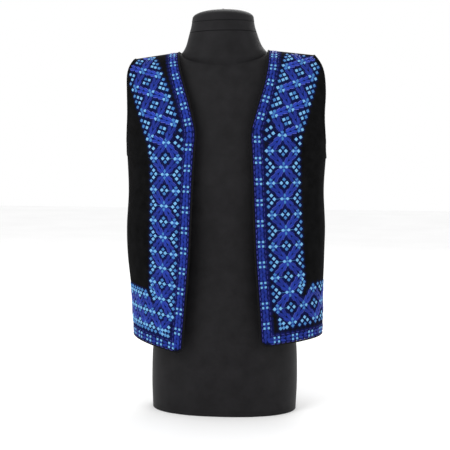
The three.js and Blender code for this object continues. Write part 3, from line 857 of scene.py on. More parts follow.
def cell_steps(lattice, i, j):
    """The steps across and up that a motif in this cell is sized by."""
    across = np.array(lattice["across"], float)
    across[0] = lattice["outer_column"] if i > 1 and "outer_column" in lattice else (
        across[0] * (1 + lattice.get("fan", 0.0) * j))
    return across, np.array(lattice["up"], float)


# %% Diamonds and knots
def diamonds(chart, places, painted_sheens, lean, allowed, upper):
    # Each diamond's painted sheen paints it lit or shaded.
    for place, painted_sheen in zip(places, painted_sheens):
        if allowed(chart, *place):
            sew(chart, panel_at(chart, place, upper), "sky_blue", "square",
                *place, lean + math.pi / 4, DIAMOND, DIAMOND, painted_sheen)


def motif(chart, lattice, i, j, table, allowed, flip=(1, 1), turned=False):
    """Diamonds of one table laid in a cell, mirrored or turned on their side where asked."""
    across, up = cell_steps(lattice, i, j)
    middle = lattice_place(lattice, i, j)
    over, rise = np.array(table["across"]) * flip[0], np.array(table["up"]) * flip[1]
    if turned:
        over, rise = rise * flip[0] * flip[1], over * flip[0] * flip[1]
    places = middle + over[:, None] * across + rise[:, None] * up
    diamonds(chart, places, table["painted_sheen"], lattice["lean"], allowed, lattice["upper"])


def knot(chart, lattice, i, j, allowed):
    """Where arms cross: a blue cross with four diamonds round it."""
    place = lattice_place(lattice, i, j)
    if not allowed(chart, *place):
        return
    panel = panel_at(chart, place, lattice["upper"])
    for turn in (CROSS_TURN, -CROSS_TURN):
        for thread, bar in CROSS.items():
            sew(chart, panel, thread, "bar", *place, lattice["lean"] + turn, **bar)
    motif(chart, lattice, i, j, FOUR, allowed)


# %% Arms and links
def wheat_ear(chart, lattice, start, end, allowed):
    """Two pairs of leaves that open along an arm, each leaf edged with a lighter thread."""
    way = end - start
    span = np.linalg.norm(way)
    unit = way / span
    turn = math.atan2(-unit[0], unit[1])
    beside = np.array([math.cos(turn), math.sin(turn)])
    free = span - 2 * ARM["clear"]
    # Painted light: arms that rise outward catch more light on their satin, so they, and twice over their
    # outlines, are painted lighter.
    rises_outward = way[0] * way[1] > 0
    painted_light = ARM["painted_light_high" if lattice["upper"] else "painted_light_low"] * rises_outward
    for k in range(ARM["pairs"]):
        along = ARM["clear"] + free * (k + 0.5) / ARM["pairs"]
        for hand in (-1, 1):
            place = start + unit * along + beside * hand * ARM["beside"]
            if not allowed(chart, *place):
                continue
            panel = panel_at(chart, place, lattice["upper"])
            leaf_turn = turn - hand * ARM["spread"]
            painted_sheen = ARM["painted_sheen"] + painted_light + ARM["other_painted_sheen"] * ((k + hand) % 2)
            sew(chart, panel, "royal_blue", "leaf", *place, leaf_turn, free * ARM["length"],
                ARM["width"], painted_sheen)
            out = ARM["width"] / 2 + ARM_OUTLINE["outside"]
            edge = place + beside * hand * out - unit * ARM_OUTLINE["behind"]
            sew(chart, panel, "cornflower", "bar", *edge, leaf_turn, free * ARM_OUTLINE["length"],
                ARM_OUTLINE["width"], ARM_OUTLINE["painted_sheen"] + 2 * painted_light)


def link(chart, lattice, start, end, allowed):
    """A thin thread laid between two knots."""
    middle = (start + end) / 2
    if allowed(chart, *middle):
        way = end - start
        sew(chart, panel_at(chart, middle, lattice["upper"]), "sky_blue", "bar", *middle,
            math.atan2(-way[0], way[1]), np.linalg.norm(way), LINK["width"], LINK["painted_sheen"])


print("a knot has", len(CROSS) * 2, "bars and", len(FOUR["painted_sheen"]), "diamonds, an arm",
      ARM["pairs"] * 2, "leaves, and a half cell", len(HALF["painted_sheen"]), "diamonds")

# %% [markdown]
# ## The straight lattice of the fronts
#
# Three columns wide, it runs down each front. Knots stand in the middle column on every second row, and
# at both borders on the rows between. The cells between knots are open; those on the borders are halves.
# The two fronts were sewn by hand and don't match to the millimetre, so each has spacings of its own.

# %% Fronts
LOWEST_ROW = -12
STRAIGHT = {"lean": 0.0, "upper": False}
FRONT_LATTICE = {
    "right": STRAIGHT | {
        "origin": (56.5, 518.0), "across": (23.6, 0.0), "up": (1.04, 28.05),
        "fan": 0.0154, "bend": -0.5, "spread": 0.25,
    },
    "left": STRAIGHT | {
        "origin": (56.8, 533.6), "across": (25.4, 0.0), "up": (-0.12, 28.97), "fan": -0.001,
    },
}
ABOVE_HEM_BAND = 170.5
BESIDE_EDGE_BAND = 19.0
SEAM_MARGIN = 4.0


def on_front(chart, a, b):
    """Whether a place lies inside the bands and the side seam, the same on every chart."""
    return BESIDE_EDGE_BAND < a < seam_at(b) - SEAM_MARGIN and b > ABOVE_HEM_BAND


def sew_front_lattice(chart, lattice, allowed):
    """Row by row upwards. The panel above the hem takes over from the lowest outer half."""
    for j in range(LOWEST_ROW, 1):
        crossing_row = j % 2 == 0
        if crossing_row:
            knot(chart, lattice, 0, j, allowed)
            centre = lattice_place(lattice, 0, j)
            for i in (-1, 1):
                border = lattice_place(lattice, i, j)
                if j < 0 and (j > LOWEST_ROW + 2 or (j > LOWEST_ROW and i < 0)):
                    motif(chart, lattice, i, j, HALF, allowed, flip=(-i, 1))
                    gap = np.array([i * LINK["from_open_knot"], 0.0])
                    link(chart, lattice, centre + gap, border - gap * LINK["from_half"], allowed)
                for step in (-1, 1):
                    if LOWEST_ROW <= j + step <= 0:
                        wheat_ear(chart, lattice, centre, lattice_place(lattice, i, j + step), allowed)
        else:
            motif(chart, lattice, 0, j, FOUR, allowed)
            centre = lattice_place(lattice, 0, j)
            for i in (-1, 1):
                knot(chart, lattice, i, j, allowed)
            gap = np.array([LINK["from_knot"], 0.0])
            link(chart, lattice, centre - gap, lattice_place(lattice, -1, j) + gap, allowed)


for name, chart in LOWER.items():
    sew_front_lattice(chart, FRONT_LATTICE[name], on_front)
    print("rows of the lattice on the", name, "front:", 1 - LOWEST_ROW)

# %% [markdown]
# ## The panel above the hem
#
# Below the plain side panel the lattice goes on round the body, two cells high. Its top and bottom
# borders cut the cells in half, so the triangles lie on their sides here. Beyond the strip of a front
# the columns have a width of their own. Each panel of a vest is embroidered before it is sewn up, so the
# pattern stops just short of the side seams, and the back's columns are counted both ways from its
# middle.

# %% Hem panel
HEM_TOP_ROW, HEM_LOW_ROW = -10, -12
OUTER_COLUMN = {"right": 17.0, "left": 26.7}
BACK_COLUMNS = 9
BACK_ROWS = {"low": 183.7, "up": 28.5}
# Painted light and shade: these loose diamonds are painted lit or shaded for the way their stitches run.
OUTER_CORNER = {
    "at": (1, HEM_TOP_ROW),
    "a": [2.0, 5.4, -2.4, 3.5, -4.4, -0.5, -8.3, -3.7],
    "b": [21, 15.3, 15, 9.3, 8.6, 3.3, 1, -3.5],
    "painted_sheen": [1, 0, 0.2, 1, 1, 0.1, 0.2, 1],
}
FRONT_CORNER = {
    "at": (-1, HEM_LOW_ROW),
    "a": [2.3, 8.6, 2.3, 14.4, 8.4, 2.6],
    "b": [8.2, 0.6, 0.6, -7.2, -7.6, -8.0],
    "painted_sheen": [1, 1, 0.2, 0.8, 0.3, 0.5],
}


def make_back_lattice():
    """Columns that follow the middle of the back, which lies farther along the cloth higher up."""
    low, up = BACK_ROWS["low"], BACK_ROWS["up"]
    drift = back_middle_at(low + up) - back_middle_at(low)
    column = (seam_at(low) - back_middle_at(low)) / BACK_COLUMNS
    origin = (back_middle_at(low) - HEM_LOW_ROW * drift, low - HEM_LOW_ROW * up)
    return STRAIGHT | {"origin": origin, "across": (column, 0.0), "up": (drift, up)}


BACK_LATTICE = make_back_lattice()


def on_back(chart, a, b):
    """The same question for the back, past the side seam."""
    return a > seam_at(b) + SEAM_MARGIN and b > ABOVE_HEM_BAND


def sew_corners(chart, lattice):
    """Loose diamonds where the panel leaves the front's own columns, and low beside the front edge."""
    for table in (OUTER_CORNER, FRONT_CORNER):
        places = lattice_place(lattice, *table["at"]) + np.stack([table["a"], table["b"]], axis=-1)
        diamonds(chart, places, table["painted_sheen"], 0.0, on_front, False)


def sew_cell(chart, lattice, i, j, allowed):
    """A knot, a whole open cell, or half a cell at the top or bottom border."""
    if (i + j) % 2 == 0:
        knot(chart, lattice, i, j, allowed)
    elif j == HEM_LOW_ROW + 1:
        motif(chart, lattice, i, j, FOUR, allowed)
    else:
        up = -1 if j == HEM_TOP_ROW else 1
        motif(chart, lattice, i, j, HALF, allowed, flip=(1, up), turned=True)


def sew_hem_panel(chart, lattice, columns, allowed, with_first_cells):
    rows = range(HEM_LOW_ROW, HEM_TOP_ROW + 1)
    for i, j in [(i, j) for i in columns for j in rows]:
        if i > columns[0] or with_first_cells:
            sew_cell(chart, lattice, i, j, allowed)
        if j < HEM_TOP_ROW:
            low, high = (i, i + 1) if (i + j) % 2 == 0 else (i + 1, i)
            ends = lattice_place(lattice, low, j), lattice_place(lattice, high, j + 1)
            wheat_ear(chart, lattice, *ends, allowed)


for name, chart in LOWER.items():
    lattice = FRONT_LATTICE[name] | {"outer_column": OUTER_COLUMN[name]}
    first = lattice_place(lattice, 1, HEM_LOW_ROW)[0]
    columns = int(np.ceil((seam_at(lattice["origin"][1]) - first) / OUTER_COLUMN[name]))
    sew_corners(chart, lattice)
    sew_cell(chart, lattice, 1, HEM_LOW_ROW, on_front)
    sew_hem_panel(chart, lattice, range(1, columns + 2), on_front, with_first_cells=False)
    sew_hem_panel(chart, BACK_LATTICE, range(0, BACK_COLUMNS), on_back, with_first_cells=name == "left")
    print(name, "front:", columns, "columns beyond the strip, and", BACK_COLUMNS, "on half of the back")

# %% [markdown]
# ## The leaning lattice over the chest
#
# Above the chest the neckline slants away, and the lattice leans with it, spreading out to the armhole
# near the shoulder. Its knots, arms and cells are the same motifs on slanted steps.

# %% Chest
LEANING = {"upper": True}
CHEST_LATTICE = {
    "right": LEANING | {
        "origin": (106.2, 517.0), "across": (23.2, -13.6), "up": (7.9, 23.9), "lean": -0.42,
    },
    "left": LEANING | {
        "origin": (109.6, 536.1), "across": (23.6, -12.3), "up": (6.2, 23.3), "lean": -0.38,
    },
}
# Where the two lattices meet, loose diamonds fill the wedges, counted from the shared knot.
# Their painted sheen paints each one lit or shaded for the way its stitches run.
WEDGES = {
    "a": [-18, -24.9, -31.9, -22.4, -29.6, -27.2, 23.8, 31.8, 30.6],
    "b": [0.9, -4.7, -9.8, 11.4, 6.6, 23.8, -9.7, -5.9, -17.7],
    "painted_sheen": [1, 0.6, 0.1, 1, 0.4, 0.1, 1, 1, 0.8],
}
NECK_MARGIN = 19.5
CREST_MARGIN = 20.0
ARMHOLE_MARGIN = 6.0
CHEST = {"rows": 11, "widens_at": 7, "narrow": 1, "wide": 3}


# %% Where the neckline and the armhole lie on the map
def neckline_places(chart, rows):
    """The free edge of a front on the upper map."""
    height, angle = front_edge(chart["side"], rows)
    x = vest_point(-1, angle, height)[:, 0]
    column = np.clip((x - chart["x"][0]) / MAP_STEP, 0, len(chart["x"]) - 1.001)
    up = []
    for place, h in zip(column, height):
        j = int(place)
        pair = [np.interp(h, chart["height"], chart["lengths"][:, k]) for k in (j, j + 1)]
        up.append(between(*pair, place - j))
    return np.stack([x, up], axis=-1)


def armhole_places(chart, rise):
    """The armhole on the upper map, at shares of the way from the chest to the crest."""
    x = on_curve(ARMHOLE, "rise", "x", rise)
    up = CHEST_Z + rise * (np.interp(x, chart["x"], chart["top"]) - CHEST_Z)
    return np.stack([x, up], axis=-1)


for chart in UPPER.values():
    neck_rows = np.linspace(EDGE_ROWS["v_corner"], EDGE_ROWS["top"], 15)
    chart["neckline"] = neckline_places(chart, neck_rows)
    chart["armhole"] = armhole_places(chart, np.linspace(0, 1, 60))
    low, high = chart["neckline"][[0, -1]].round(1)
    print("neckline on the map from", low, "to", high)


# %% Sew the chest
def on_chest(chart, a, b):
    """Whether a place lies between the neckline, the armhole and the crest of the shoulder."""
    neck = np.interp(b, chart["neckline"][:, 1], chart["neckline"][:, 0])
    arm = np.interp(b, chart["armhole"][:, 1], chart["armhole"][:, 0]) - ARMHOLE_MARGIN
    top = np.interp(a, chart["x"], chart["top"]) - CREST_MARGIN
    return neck + NECK_MARGIN < a < arm and b < top


def sew_chest(chart, lattice, allowed):
    """Three columns wide at first, then a fourth and fifth where the front widens to the armhole."""
    places = np.array(lattice["origin"]) + np.stack([WEDGES["a"], WEDGES["b"]], axis=-1)
    diamonds(chart, places, WEDGES["painted_sheen"], 0.0, allowed, True)
    for j in range(CHEST["rows"]):
        widest = CHEST["narrow"] if j < CHEST["widens_at"] else CHEST["wide"]
        for i in range(-1, widest + 1):
            if j == 0 and i != 0:
                continue
            place = lattice_place(lattice, i, j)
            if (i + j) % 2 == 0:
                if (i, j) != (0, 0):
                    knot(chart, lattice, i, j, allowed)
                for step in (-1, 1):
                    reaches = max(i, i + step) <= CHEST["narrow"] or j + 1 >= CHEST["widens_at"]
                    if -1 <= i + step and reaches:
                        end = lattice_place(lattice, i + step, j + 1)
                        wheat_ear(chart, lattice, place, end, allowed)
            elif abs(i) == 1 and (i < 0 or j < CHEST["widens_at"]):
                motif(chart, lattice, i, j, HALF, allowed, flip=(-i, 1))
            else:
                motif(chart, lattice, i, j, FOUR, allowed)


for name, chart in UPPER.items():
    sew_chest(chart, CHEST_LATTICE[name], on_chest)
    print("rows of the leaning lattice on the", name, "front:", CHEST["rows"])

# %% [markdown]
# ## The narrow band
#
# A band of downward leaves, broken by knots of four upright squares, follows each front's edge and
# neckline and the hem. Running stitches lie on both sides of it. One function sews it along any line on
# a map, and keeps the leaves, squares and running stitches at fixed distances from that line.

# %% Sizes of the band
# Painted light and shade: the band's squares are painted near the lit copy, and neighbouring leaves
# alternate lighter and darker.
BAND = {
    "from_edge": 9.6, "knot_reach": 7.0,
    "square": 4.4, "across": 3.7, "along": 4.1, "square_painted_sheen": 0.85,
    "leaf_width": 5.6, "leaf_beside": 2.75, "leaf_pitch": 8.4,
    "leaf_overlap": 1.35, "leaf_spread": 0.24, "other_painted_sheen": 0.25,
    "dash_inner": 8.2, "dash_outer": 7.8, "dash_pitch": 9.55,
}
BAND_CROSS = (
    {"turn": 0.0, "length": 15.0, "width": 2.4},
    {"turn": QUARTER, "length": 10.5, "width": 2.0},
)
DASH = {"length": 6.6, "width": 1.6, "painted_sheen": 0.9}


# %% A line to sew along
def make_line(places):
    """A line through places on a map, with the distance along it at each of them."""
    places = np.asarray(places, float)
    steps = np.linalg.norm(np.diff(places, axis=0), axis=1)
    return {"places": places, "at": np.concatenate([[0], np.cumsum(steps)])}


def on_line(line, along, beside=0.0):
    """Place on a map, and the turn that lays a stitch along the line."""
    a, b = (np.interp(along, line["at"], line["places"][:, k]) for k in (0, 1))
    reach = 3.0
    ahead, behind = (np.array([np.interp(along + s, line["at"], line["places"][:, k]) for k in (0, 1)])
                     for s in (reach, -reach))
    way = ahead - behind
    turn = np.arctan2(-way[0], way[1])
    return a + beside * np.cos(turn), b + beside * np.sin(turn), turn


# %% Sew a band along a line
def sew_band(chart, panel, line, knots, inner=1, start=0.0, stop=None, leaves_point=1, painted_sheen=0.2):
    """Knots at the given distances along a line, leaves between them, and running stitches beside.

    A knot right at the end is shared: each side sews its own half, and one of them the cross.
    The inner running stitches lie to the right of the line for an inner of 1, to the left for -1."""
    stop = line["at"][-1] if stop is None else stop
    for k in knots:
        own_half = [up for up in (-1, 1) if k + up * BAND["along"] < stop or k < stop]
        for over, up in [(over, up) for over in (-1, 1) for up in own_half]:
            a, b, turn = on_line(line, k + up * BAND["along"], over * BAND["across"])
            sew(chart, panel, "sky_blue", "square", a, b, turn, BAND["square"], BAND["square"],
                BAND["square_painted_sheen"])
        if k >= stop and chart["side"] < 0:
            continue
        a, b, turn = on_line(line, k)
        for bar in BAND_CROSS:
            sew(chart, panel, "royal_blue", "bar", a, b, turn + bar["turn"], bar["length"], bar["width"])
    ends = [start - BAND["knot_reach"], *knots, stop + BAND["knot_reach"]]
    for low, high in zip(ends[:-1], ends[1:]):
        free = high - low - 2 * BAND["knot_reach"]
        pairs = int(round(free / BAND["leaf_pitch"]))
        for n in range(pairs):
            along = low + BAND["knot_reach"] + free * (n + 0.5) / pairs
            for hand in (-1, 1):
                a, b, turn = on_line(line, along, hand * BAND["leaf_beside"])
                sew(chart, panel, "royal_blue", "leaf", a, b,
                    turn - leaves_point * hand * BAND["leaf_spread"],
                    BAND["leaf_pitch"] * BAND["leaf_overlap"], BAND["leaf_width"],
                    painted_sheen + BAND["other_painted_sheen"] * ((n + (hand > 0)) % 2))
    dashes = {"navy": inner * BAND["dash_inner"], "violet": -inner * BAND["dash_outer"]}
    for n in range(int((stop - start) / BAND["dash_pitch"])):
        along = start + (n + 0.5) * BAND["dash_pitch"]
        for thread, beside in dashes.items():
            a, b, turn = on_line(line, along, beside)
            sew(chart, panel, thread, "bar", a, b, turn, **DASH)


# %% Bands of the front edges and the hem
# Painted light and shade: the left front's bands, turned away from the key lamp, are painted darker than
# the right front's.
BAND_KNOT = {
    "right": {"first": 510.5, "step": 36.0, "after_corner": 21.0, "neck_step": 31.0, "painted_sheen": 0.2},
    "left": {"first": 525.5, "step": 37.75, "after_corner": 27.0, "neck_step": 33.0, "painted_sheen": 0.02},
}
HEM_BAND = {
    "right": {"first_knot": 20.0, "step": 25.0},
    "left": {"first_knot": 26.7, "step": 35.0},
    "back": {"step": 34.0},
}
EDGE_LINE = {"bottom": 155.5, "knots": 10}
# Painted light and shade: the hem band is painted at one sheen of its own on both fronts and the back.
HEM_LINE = {
    "b": 158.3, "from": 15.0, "beside_seam": 2.0, "runs_on": 12.0,
    "knots": 8, "clear_low": 4.0, "clear_high": 8.0, "painted_sheen": 0.1,
}
# Painted light: the neckline bands are painted lighter than the edge bands below them.
NECK_LINE = {"from": 2.0, "stops_short": 16.0, "clear_high": 6.0, "painted_light": 0.15}


def sew_edge_band(name, chart):
    """Up the front edge to the corner where the neckline begins."""
    beat, bottom = BAND_KNOT[name], EDGE_LINE["bottom"]
    corner_z = V_CORNER["z"] + chart["side"] * V_CORNER["tilt"]
    knots = beat["first"] - beat["step"] * np.arange(EDGE_LINE["knots"])
    line = make_line([(BAND["from_edge"], bottom), (BAND["from_edge"], corner_z)])
    sew_band(chart, "front_" + name, line, sorted(knots - bottom), leaves_point=-1, painted_sheen=beat["painted_sheen"])


def sew_hem_band(name, chart):
    """Along the hem of a front, and of half the back up to the knot in its middle."""
    own, up = "front_" + name, HEM_LINE["b"]
    seam, middle = seam_at(up), back_middle_at(up)
    count = np.arange(HEM_LINE["knots"])
    hem_knots = {
        own: HEM_BAND[name]["first_knot"] + HEM_BAND[name]["step"] * count,
        "back": middle - HEM_BAND["back"]["step"] * count[::-1],
    }
    beside = HEM_LINE["beside_seam"]
    stretches = {own: (HEM_LINE["from"], seam - beside), "back": (seam + beside, middle)}
    for panel, (low, high) in stretches.items():
        first, last = low + HEM_LINE["clear_low"], high - HEM_LINE["clear_high"]
        knots = [k - low for k in hem_knots[panel] if first < k < last or k == middle]
        line = make_line([(low, up), (high + HEM_LINE["runs_on"], up)])
        sew_band(chart, panel, line, knots, inner=-1, stop=high - low, painted_sheen=HEM_LINE["painted_sheen"])


for name, chart in LOWER.items():
    sew_edge_band(name, chart)
    sew_hem_band(name, chart)
    print("bands sewn along the", name, "front edge, its hem and half of the back's hem")


# %% Bands beside the necklines
def line_inside(edge, distance):
    """A line beside the neckline, mitred at each bend of the edge."""
    way = np.diff(edge, axis=0)
    way /= np.linalg.norm(way, axis=1, keepdims=True)
    into, onward = np.concatenate([way[:1], way]), np.concatenate([way, way[-1:]])
    mean = into + onward
    mean /= np.linalg.norm(mean, axis=1, keepdims=True)
    offset = np.stack([mean[:, 1], -mean[:, 0]], axis=-1) / np.sum(mean * onward, axis=1, keepdims=True)
    return make_line(edge + offset * distance)


for name, chart in UPPER.items():
    line, beat = line_inside(chart["neckline"], BAND["from_edge"]), BAND_KNOT[name]
    top = line["at"][-1] - NECK_LINE["stops_short"]
    knots = list(np.arange(beat["after_corner"], top - NECK_LINE["clear_high"], beat["neck_step"]))
    sew_band(chart, "front_" + name, line, knots, start=NECK_LINE["from"], stop=top, leaves_point=-1,
             painted_sheen=beat["painted_sheen"] + NECK_LINE["painted_light"])
    print("band beside the", name, "neckline:", round(float(top)), "mm long, with", len(knots), "knots")

# %% [markdown]
# ## Threads
#
# All five threads are the same cotton, mercerised until it shines, from different dye baths. The finish
# is written once, with the colours as values. Fine ridges run across each cushion, where the strands lie,
# and their grooves are darkened in the colour as painted shade. A painted sheen stored with each stitch
# sets its colour between a shaded and a lit copy of the thread's colour: this is painted light and shade,
# for satin that shines more or less with the way its stitches run and with the side the lamps stand on.

# %% Satin thread finish
# Each thread has a shaded copy and a lit copy of its colour; stitches are painted between them as painted
# light and shade.
THREADS = {
    "sky_blue": {
        "shaded_copy": (0.050, 0.190, 0.470), "lit_copy": (0.165, 0.430, 0.720), "slot": "sky_blue_thread",
    },
    "royal_blue": {
        "shaded_copy": (0.0055, 0.0160, 0.170), "lit_copy": (0.020, 0.055, 0.430), "slot": "royal_blue_thread",
    },
    "cornflower": {
        "shaded_copy": (0.018, 0.030, 0.260), "lit_copy": (0.130, 0.165, 0.720), "slot": "royal_blue_thread",
    },
    "navy": {
        "shaded_copy": (0.008, 0.008, 0.070), "lit_copy": (0.036, 0.040, 0.250), "slot": "navy_thread",
    },
    "violet": {
        "shaded_copy": (0.022, 0.016, 0.110), "lit_copy": (0.052, 0.056, 0.330), "slot": "violet_thread",
    },
}
STRAND_PITCH = 0.45
WAVES_IN_SCALE_ONE = 20  # the wave texture's own factor between its scale and its waves


def make_thread_finish(name, colors):
    material, tree, shader = new_material(name + "_satin_thread", colors["lit_copy"], 0.42, 0.0, 0.10)
    # Painted light and shade: the stitch's painted sheen moves its colour from the shaded copy to the lit
    # copy.
    painted_sheen = add_node(tree, "ShaderNodeAttribute", {"attribute_name": "painted_sheen"}).outputs["Fac"]
    strand = add_node(tree, "ShaderNodeUVMap", {"uv_map": "strands"}).outputs["UV"]
    waves = add_node(tree, "ShaderNodeTexWave", {
        "Scale": 2 * math.pi / STRAND_PITCH / WAVES_IN_SCALE_ONE, "Distortion": 0.6, "Detail": 1.0,
        "wave_type": "BANDS", "bands_direction": "Y", "wave_profile": "SIN",
    })
    tree.links.new(strand, waves.inputs["Vector"])
    color = color_between(tree, painted_sheen, colors["shaded_copy"], colors["lit_copy"], 0.0, 1.0)
    # Painted shade: the stripes darken the thread's colour in the grooves between the strands.
    shade = color_between(tree, waves.outputs["Fac"], (0.72, 0.72, 0.72), (1, 1, 1), 0.0, 0.6)
    mix = add_node(tree, "ShaderNodeMix", {"data_type": "RGBA", "blend_type": "MULTIPLY", "Factor": 1.0})
    tree.links.new(color, mix.inputs["A"])
    tree.links.new(shade, mix.inputs["B"])
    tree.links.new(mix.outputs["Result"], shader.inputs["Base Color"])
    bump(tree, shader, waves.outputs["Fac"], 0.5, 0.00025)
    return material


THREAD_FINISH = {name: make_thread_finish(name, colors) for name, colors in THREADS.items()}


# %% Turn the stitches into pieces
def make_stitch_piece(panel, thread, pile):
    points = np.concatenate(pile["points"])
    piece = make_piece(f"stitches_{thread}_{panel}", points, pile["faces"], THREAD_FINISH[thread],
                       60)
    mesh = piece.data
    # Each point keeps its stitch's painted sheen, the light and shade painted into that stitch.
    painted_sheen = mesh.attributes.new("painted_sheen", "FLOAT", "POINT")
    painted_sheen.data.foreach_set("value", np.concatenate(pile["painted_sheen"]))
    corner = np.empty(len(mesh.loops), dtype=int)
    mesh.loops.foreach_get("vertex_index", corner)
    layer = mesh.uv_layers.new(name="strands")
    layer.data.foreach_set("uv", np.concatenate(pile["strand"])[corner].ravel())
    return piece


for (panel, thread), pile in SEWN.items():
    piece = make_stitch_piece(panel, thread, pile)
    print(piece.name, len(piece.data.polygons), "faces")

# %% [markdown]
# ## The filling under the motifs
#
# Between the motifs the wool is hidden by flat rows of navy darning. Sewing every one of those rows would
# cost a great many triangles for something that lies almost level with the cloth. It is told as a finish
# instead: each point of the cloth learns how near a stitch it lies, and turns navy close to one.
# Blender's KDTree finds the nearest stitch quickly, even among thousands.

# %% Filling near the stitches
FILLING = {"full_within": 3.2, "gone_beyond": 6.8}


def fill_near_stitches(piece, places):
    tree = KDTree(len(places))
    for k, place in enumerate(places):
        tree.insert(place, k)
    tree.balance()
    at = np.empty(len(piece.data.vertices) * 3)
    piece.data.vertices.foreach_get("co", at)
    local = at.reshape(-1, 3) / MM - np.array(HOME)
    apart = np.array([tree.find(point)[2] for point in local])
    share = (FILLING["gone_beyond"] - apart) / (FILLING["gone_beyond"] - FILLING["full_within"])
    share[:len(share) // 2] = 0  # the first half of the points is the cloth's inside, which stays plain
    stitched = piece.data.attributes.new("stitched", "FLOAT", "POINT")
    stitched.data.foreach_set("value", np.clip(share, 0, 1))
    print(piece.name, "is stitched over", round(100 * float(np.mean(share > 0.5))), "percent of its points")


for name, piece in CLOTH.items():
    fill_near_stitches(piece, np.concatenate(STITCHED_AT[name]))

# %% [markdown]
# ## The dress form
#
# The form is what the vest rests on: a padded torso without limbs, a neck, a band of cover round the top
# of the neck and a domed cap with a button. Each is a body of rings, because every level of a torso is a
# rounded, slightly squared oval. The rings close over the shoulders like the cloth does, a little lower,
# so that the cloth lies clear of it.

# %% Shapes of the form
FORM_REST_GAP = 0.3
FORM_NECK = {
    "z": [640, 676, 690.5, 698, 708, 719, 729, 739, 749],
    "width": [60, 88, 83, 77, 71.7, 68, 65, 62, 60],
    "depth": [50, 57, 57, 57, 57, 57, 57, 56.5, 56],
}
NECK_SEAM_Z = {"lower": 729.0, "upper": 749.0}
NECK_CAP = {"edge": 8.0, "dome": 16.0, "button_radius": 3.2, "button_height": 2.4}
BUTTON_PROFILE = {"radius": [1.5, 1.25, 1.05, 0.75, 0.4], "height": [0.0, 0.25, 0.6, 0.85, 1.0]}
SEAM_GROOVE = 1.1
SEAM_ROUNDING = 0.9
STEM_ENDS_BELOW = 1.4
FORM_AROUND = 144
FORM_LEVELS = 40
SMOOTH_BELOW = 40


def oval(z, width, depth, around=96):
    turn = np.linspace(0, 2 * math.pi, around, endpoint=False)
    return np.stack([width * np.cos(turn), depth * np.sin(turn), np.full(around, float(z))], axis=-1)


def rings_to_faces(count, around):
    """Quads between rings, and a many-sided cap at each end."""
    at = np.arange(count * around).reshape(count, around)
    over = np.roll(at, -1, axis=1)
    quads = np.stack([at[:-1], over[:-1], over[1:], at[1:]], axis=-1).reshape(-1, 4)
    return [list(q) for q in quads] + [list(at[0, ::-1]), list(at[-1])]


def torso_rings():
    angles = np.linspace(-QUARTER, QUARTER, FORM_AROUND // 2, endpoint=False)
    rings = []
    levels = np.linspace(0, 1, FORM_LEVELS)
    for height in np.concatenate([levels, 1 + levels[1:]]):
        halves = [body_point(FORM_SECTIONS, facing, CREST_POWER["form"], 0.0, FORM_REST_GAP, sweep, height)
                  for facing, sweep in ((-1, angles), (1, -angles))]
        rings.append(np.concatenate(halves))
    return rings


def neck_rings(levels):
    return [oval(z, *(on_curve(FORM_NECK, "z", column, z) for column in ("width", "depth")))
            for z in levels]


def with_pressed_edges(rings):
    """Draws in the first and last ring a little, as cover is drawn in along a seam."""
    ends = [rings[0].copy(), rings[-1].copy()]
    for end in ends:
        end[:, :2] *= 1 - SEAM_GROOVE / np.linalg.norm(end[:, :2], axis=1, keepdims=True)
    return [ends[0], *rings, ends[1]]


def cap_rings():
    base = NECK_SEAM_Z["upper"] + SEAM_GAP
    shoulder = base + NECK_CAP["edge"]
    width, depth = FORM_NECK["width"][-1], FORM_NECK["depth"][-1]
    rings = [oval(base, width, depth), oval(base + 2, width, depth), oval(shoulder, width - 1, depth - 1)]
    for turn in np.linspace(0, 1, 14)[1:-1]:
        shrink = math.cos(turn * QUARTER) ** 0.8
        lift = NECK_CAP["dome"] * math.sin(turn * QUARTER)
        rings.append(oval(shoulder + lift, (width - 1) * shrink, (depth - 1) * shrink))
    top = shoulder + NECK_CAP["dome"]
    radius, height = NECK_CAP["button_radius"], NECK_CAP["button_height"]
    for share, lift in zip(BUTTON_PROFILE["radius"], BUTTON_PROFILE["height"]):
        rings.append(oval(top + lift * height, radius * share, radius * share))
    return rings


# %% Cover of the form: fine knit with a little lint
def make_form_cover():
    material, tree, shader = new_material("form_cover_knit", (0.006, 0.0057, 0.0065), 0.6, 0.03, 0.14)
    place = add_node(tree, "ShaderNodeTexCoord").outputs["Object"]
    mottle = noise(tree, 38.0, 4.0, 0.6, place)
    rib = add_node(tree, "ShaderNodeTexWave", {"Scale": 260.0, "Distortion": 1.2, "Detail": 2.0,
                                               "wave_type": "BANDS", "bands_direction": "Z"})
    tree.links.new(place, rib.inputs["Vector"])
    lint = noise(tree, 620.0, 2.0, 0.8, place)
    base = color_between(tree, mottle, (0.0040, 0.0037, 0.0044), (0.0085, 0.0080, 0.0092))
    fleck = color_between(tree, lint, (0, 0, 0), (0.024, 0.023, 0.024), 0.68, 0.8)
    sum_up = add_node(tree, "ShaderNodeMix", {"data_type": "RGBA", "blend_type": "ADD", "Factor": 1.0})
    tree.links.new(base, sum_up.inputs["A"])
    tree.links.new(fleck, sum_up.inputs["B"])
    tree.links.new(sum_up.outputs["Result"], shader.inputs["Base Color"])
    soft = bump(tree, shader, mottle, 0.2, 0.002)
    bump(tree, shader, rib.outputs["Fac"], 0.35, 0.0003, soft)
    return material


FORM_COVER = make_form_cover()


# %% Build the form
def make_ringed(name, rings, replaced=None):
    faces = rings_to_faces(len(rings), len(rings[0]))
    piece = make_piece(name, np.concatenate(rings), faces, FORM_COVER, SMOOTH_BELOW)
    if replaced:
        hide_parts(replaced)
    return piece


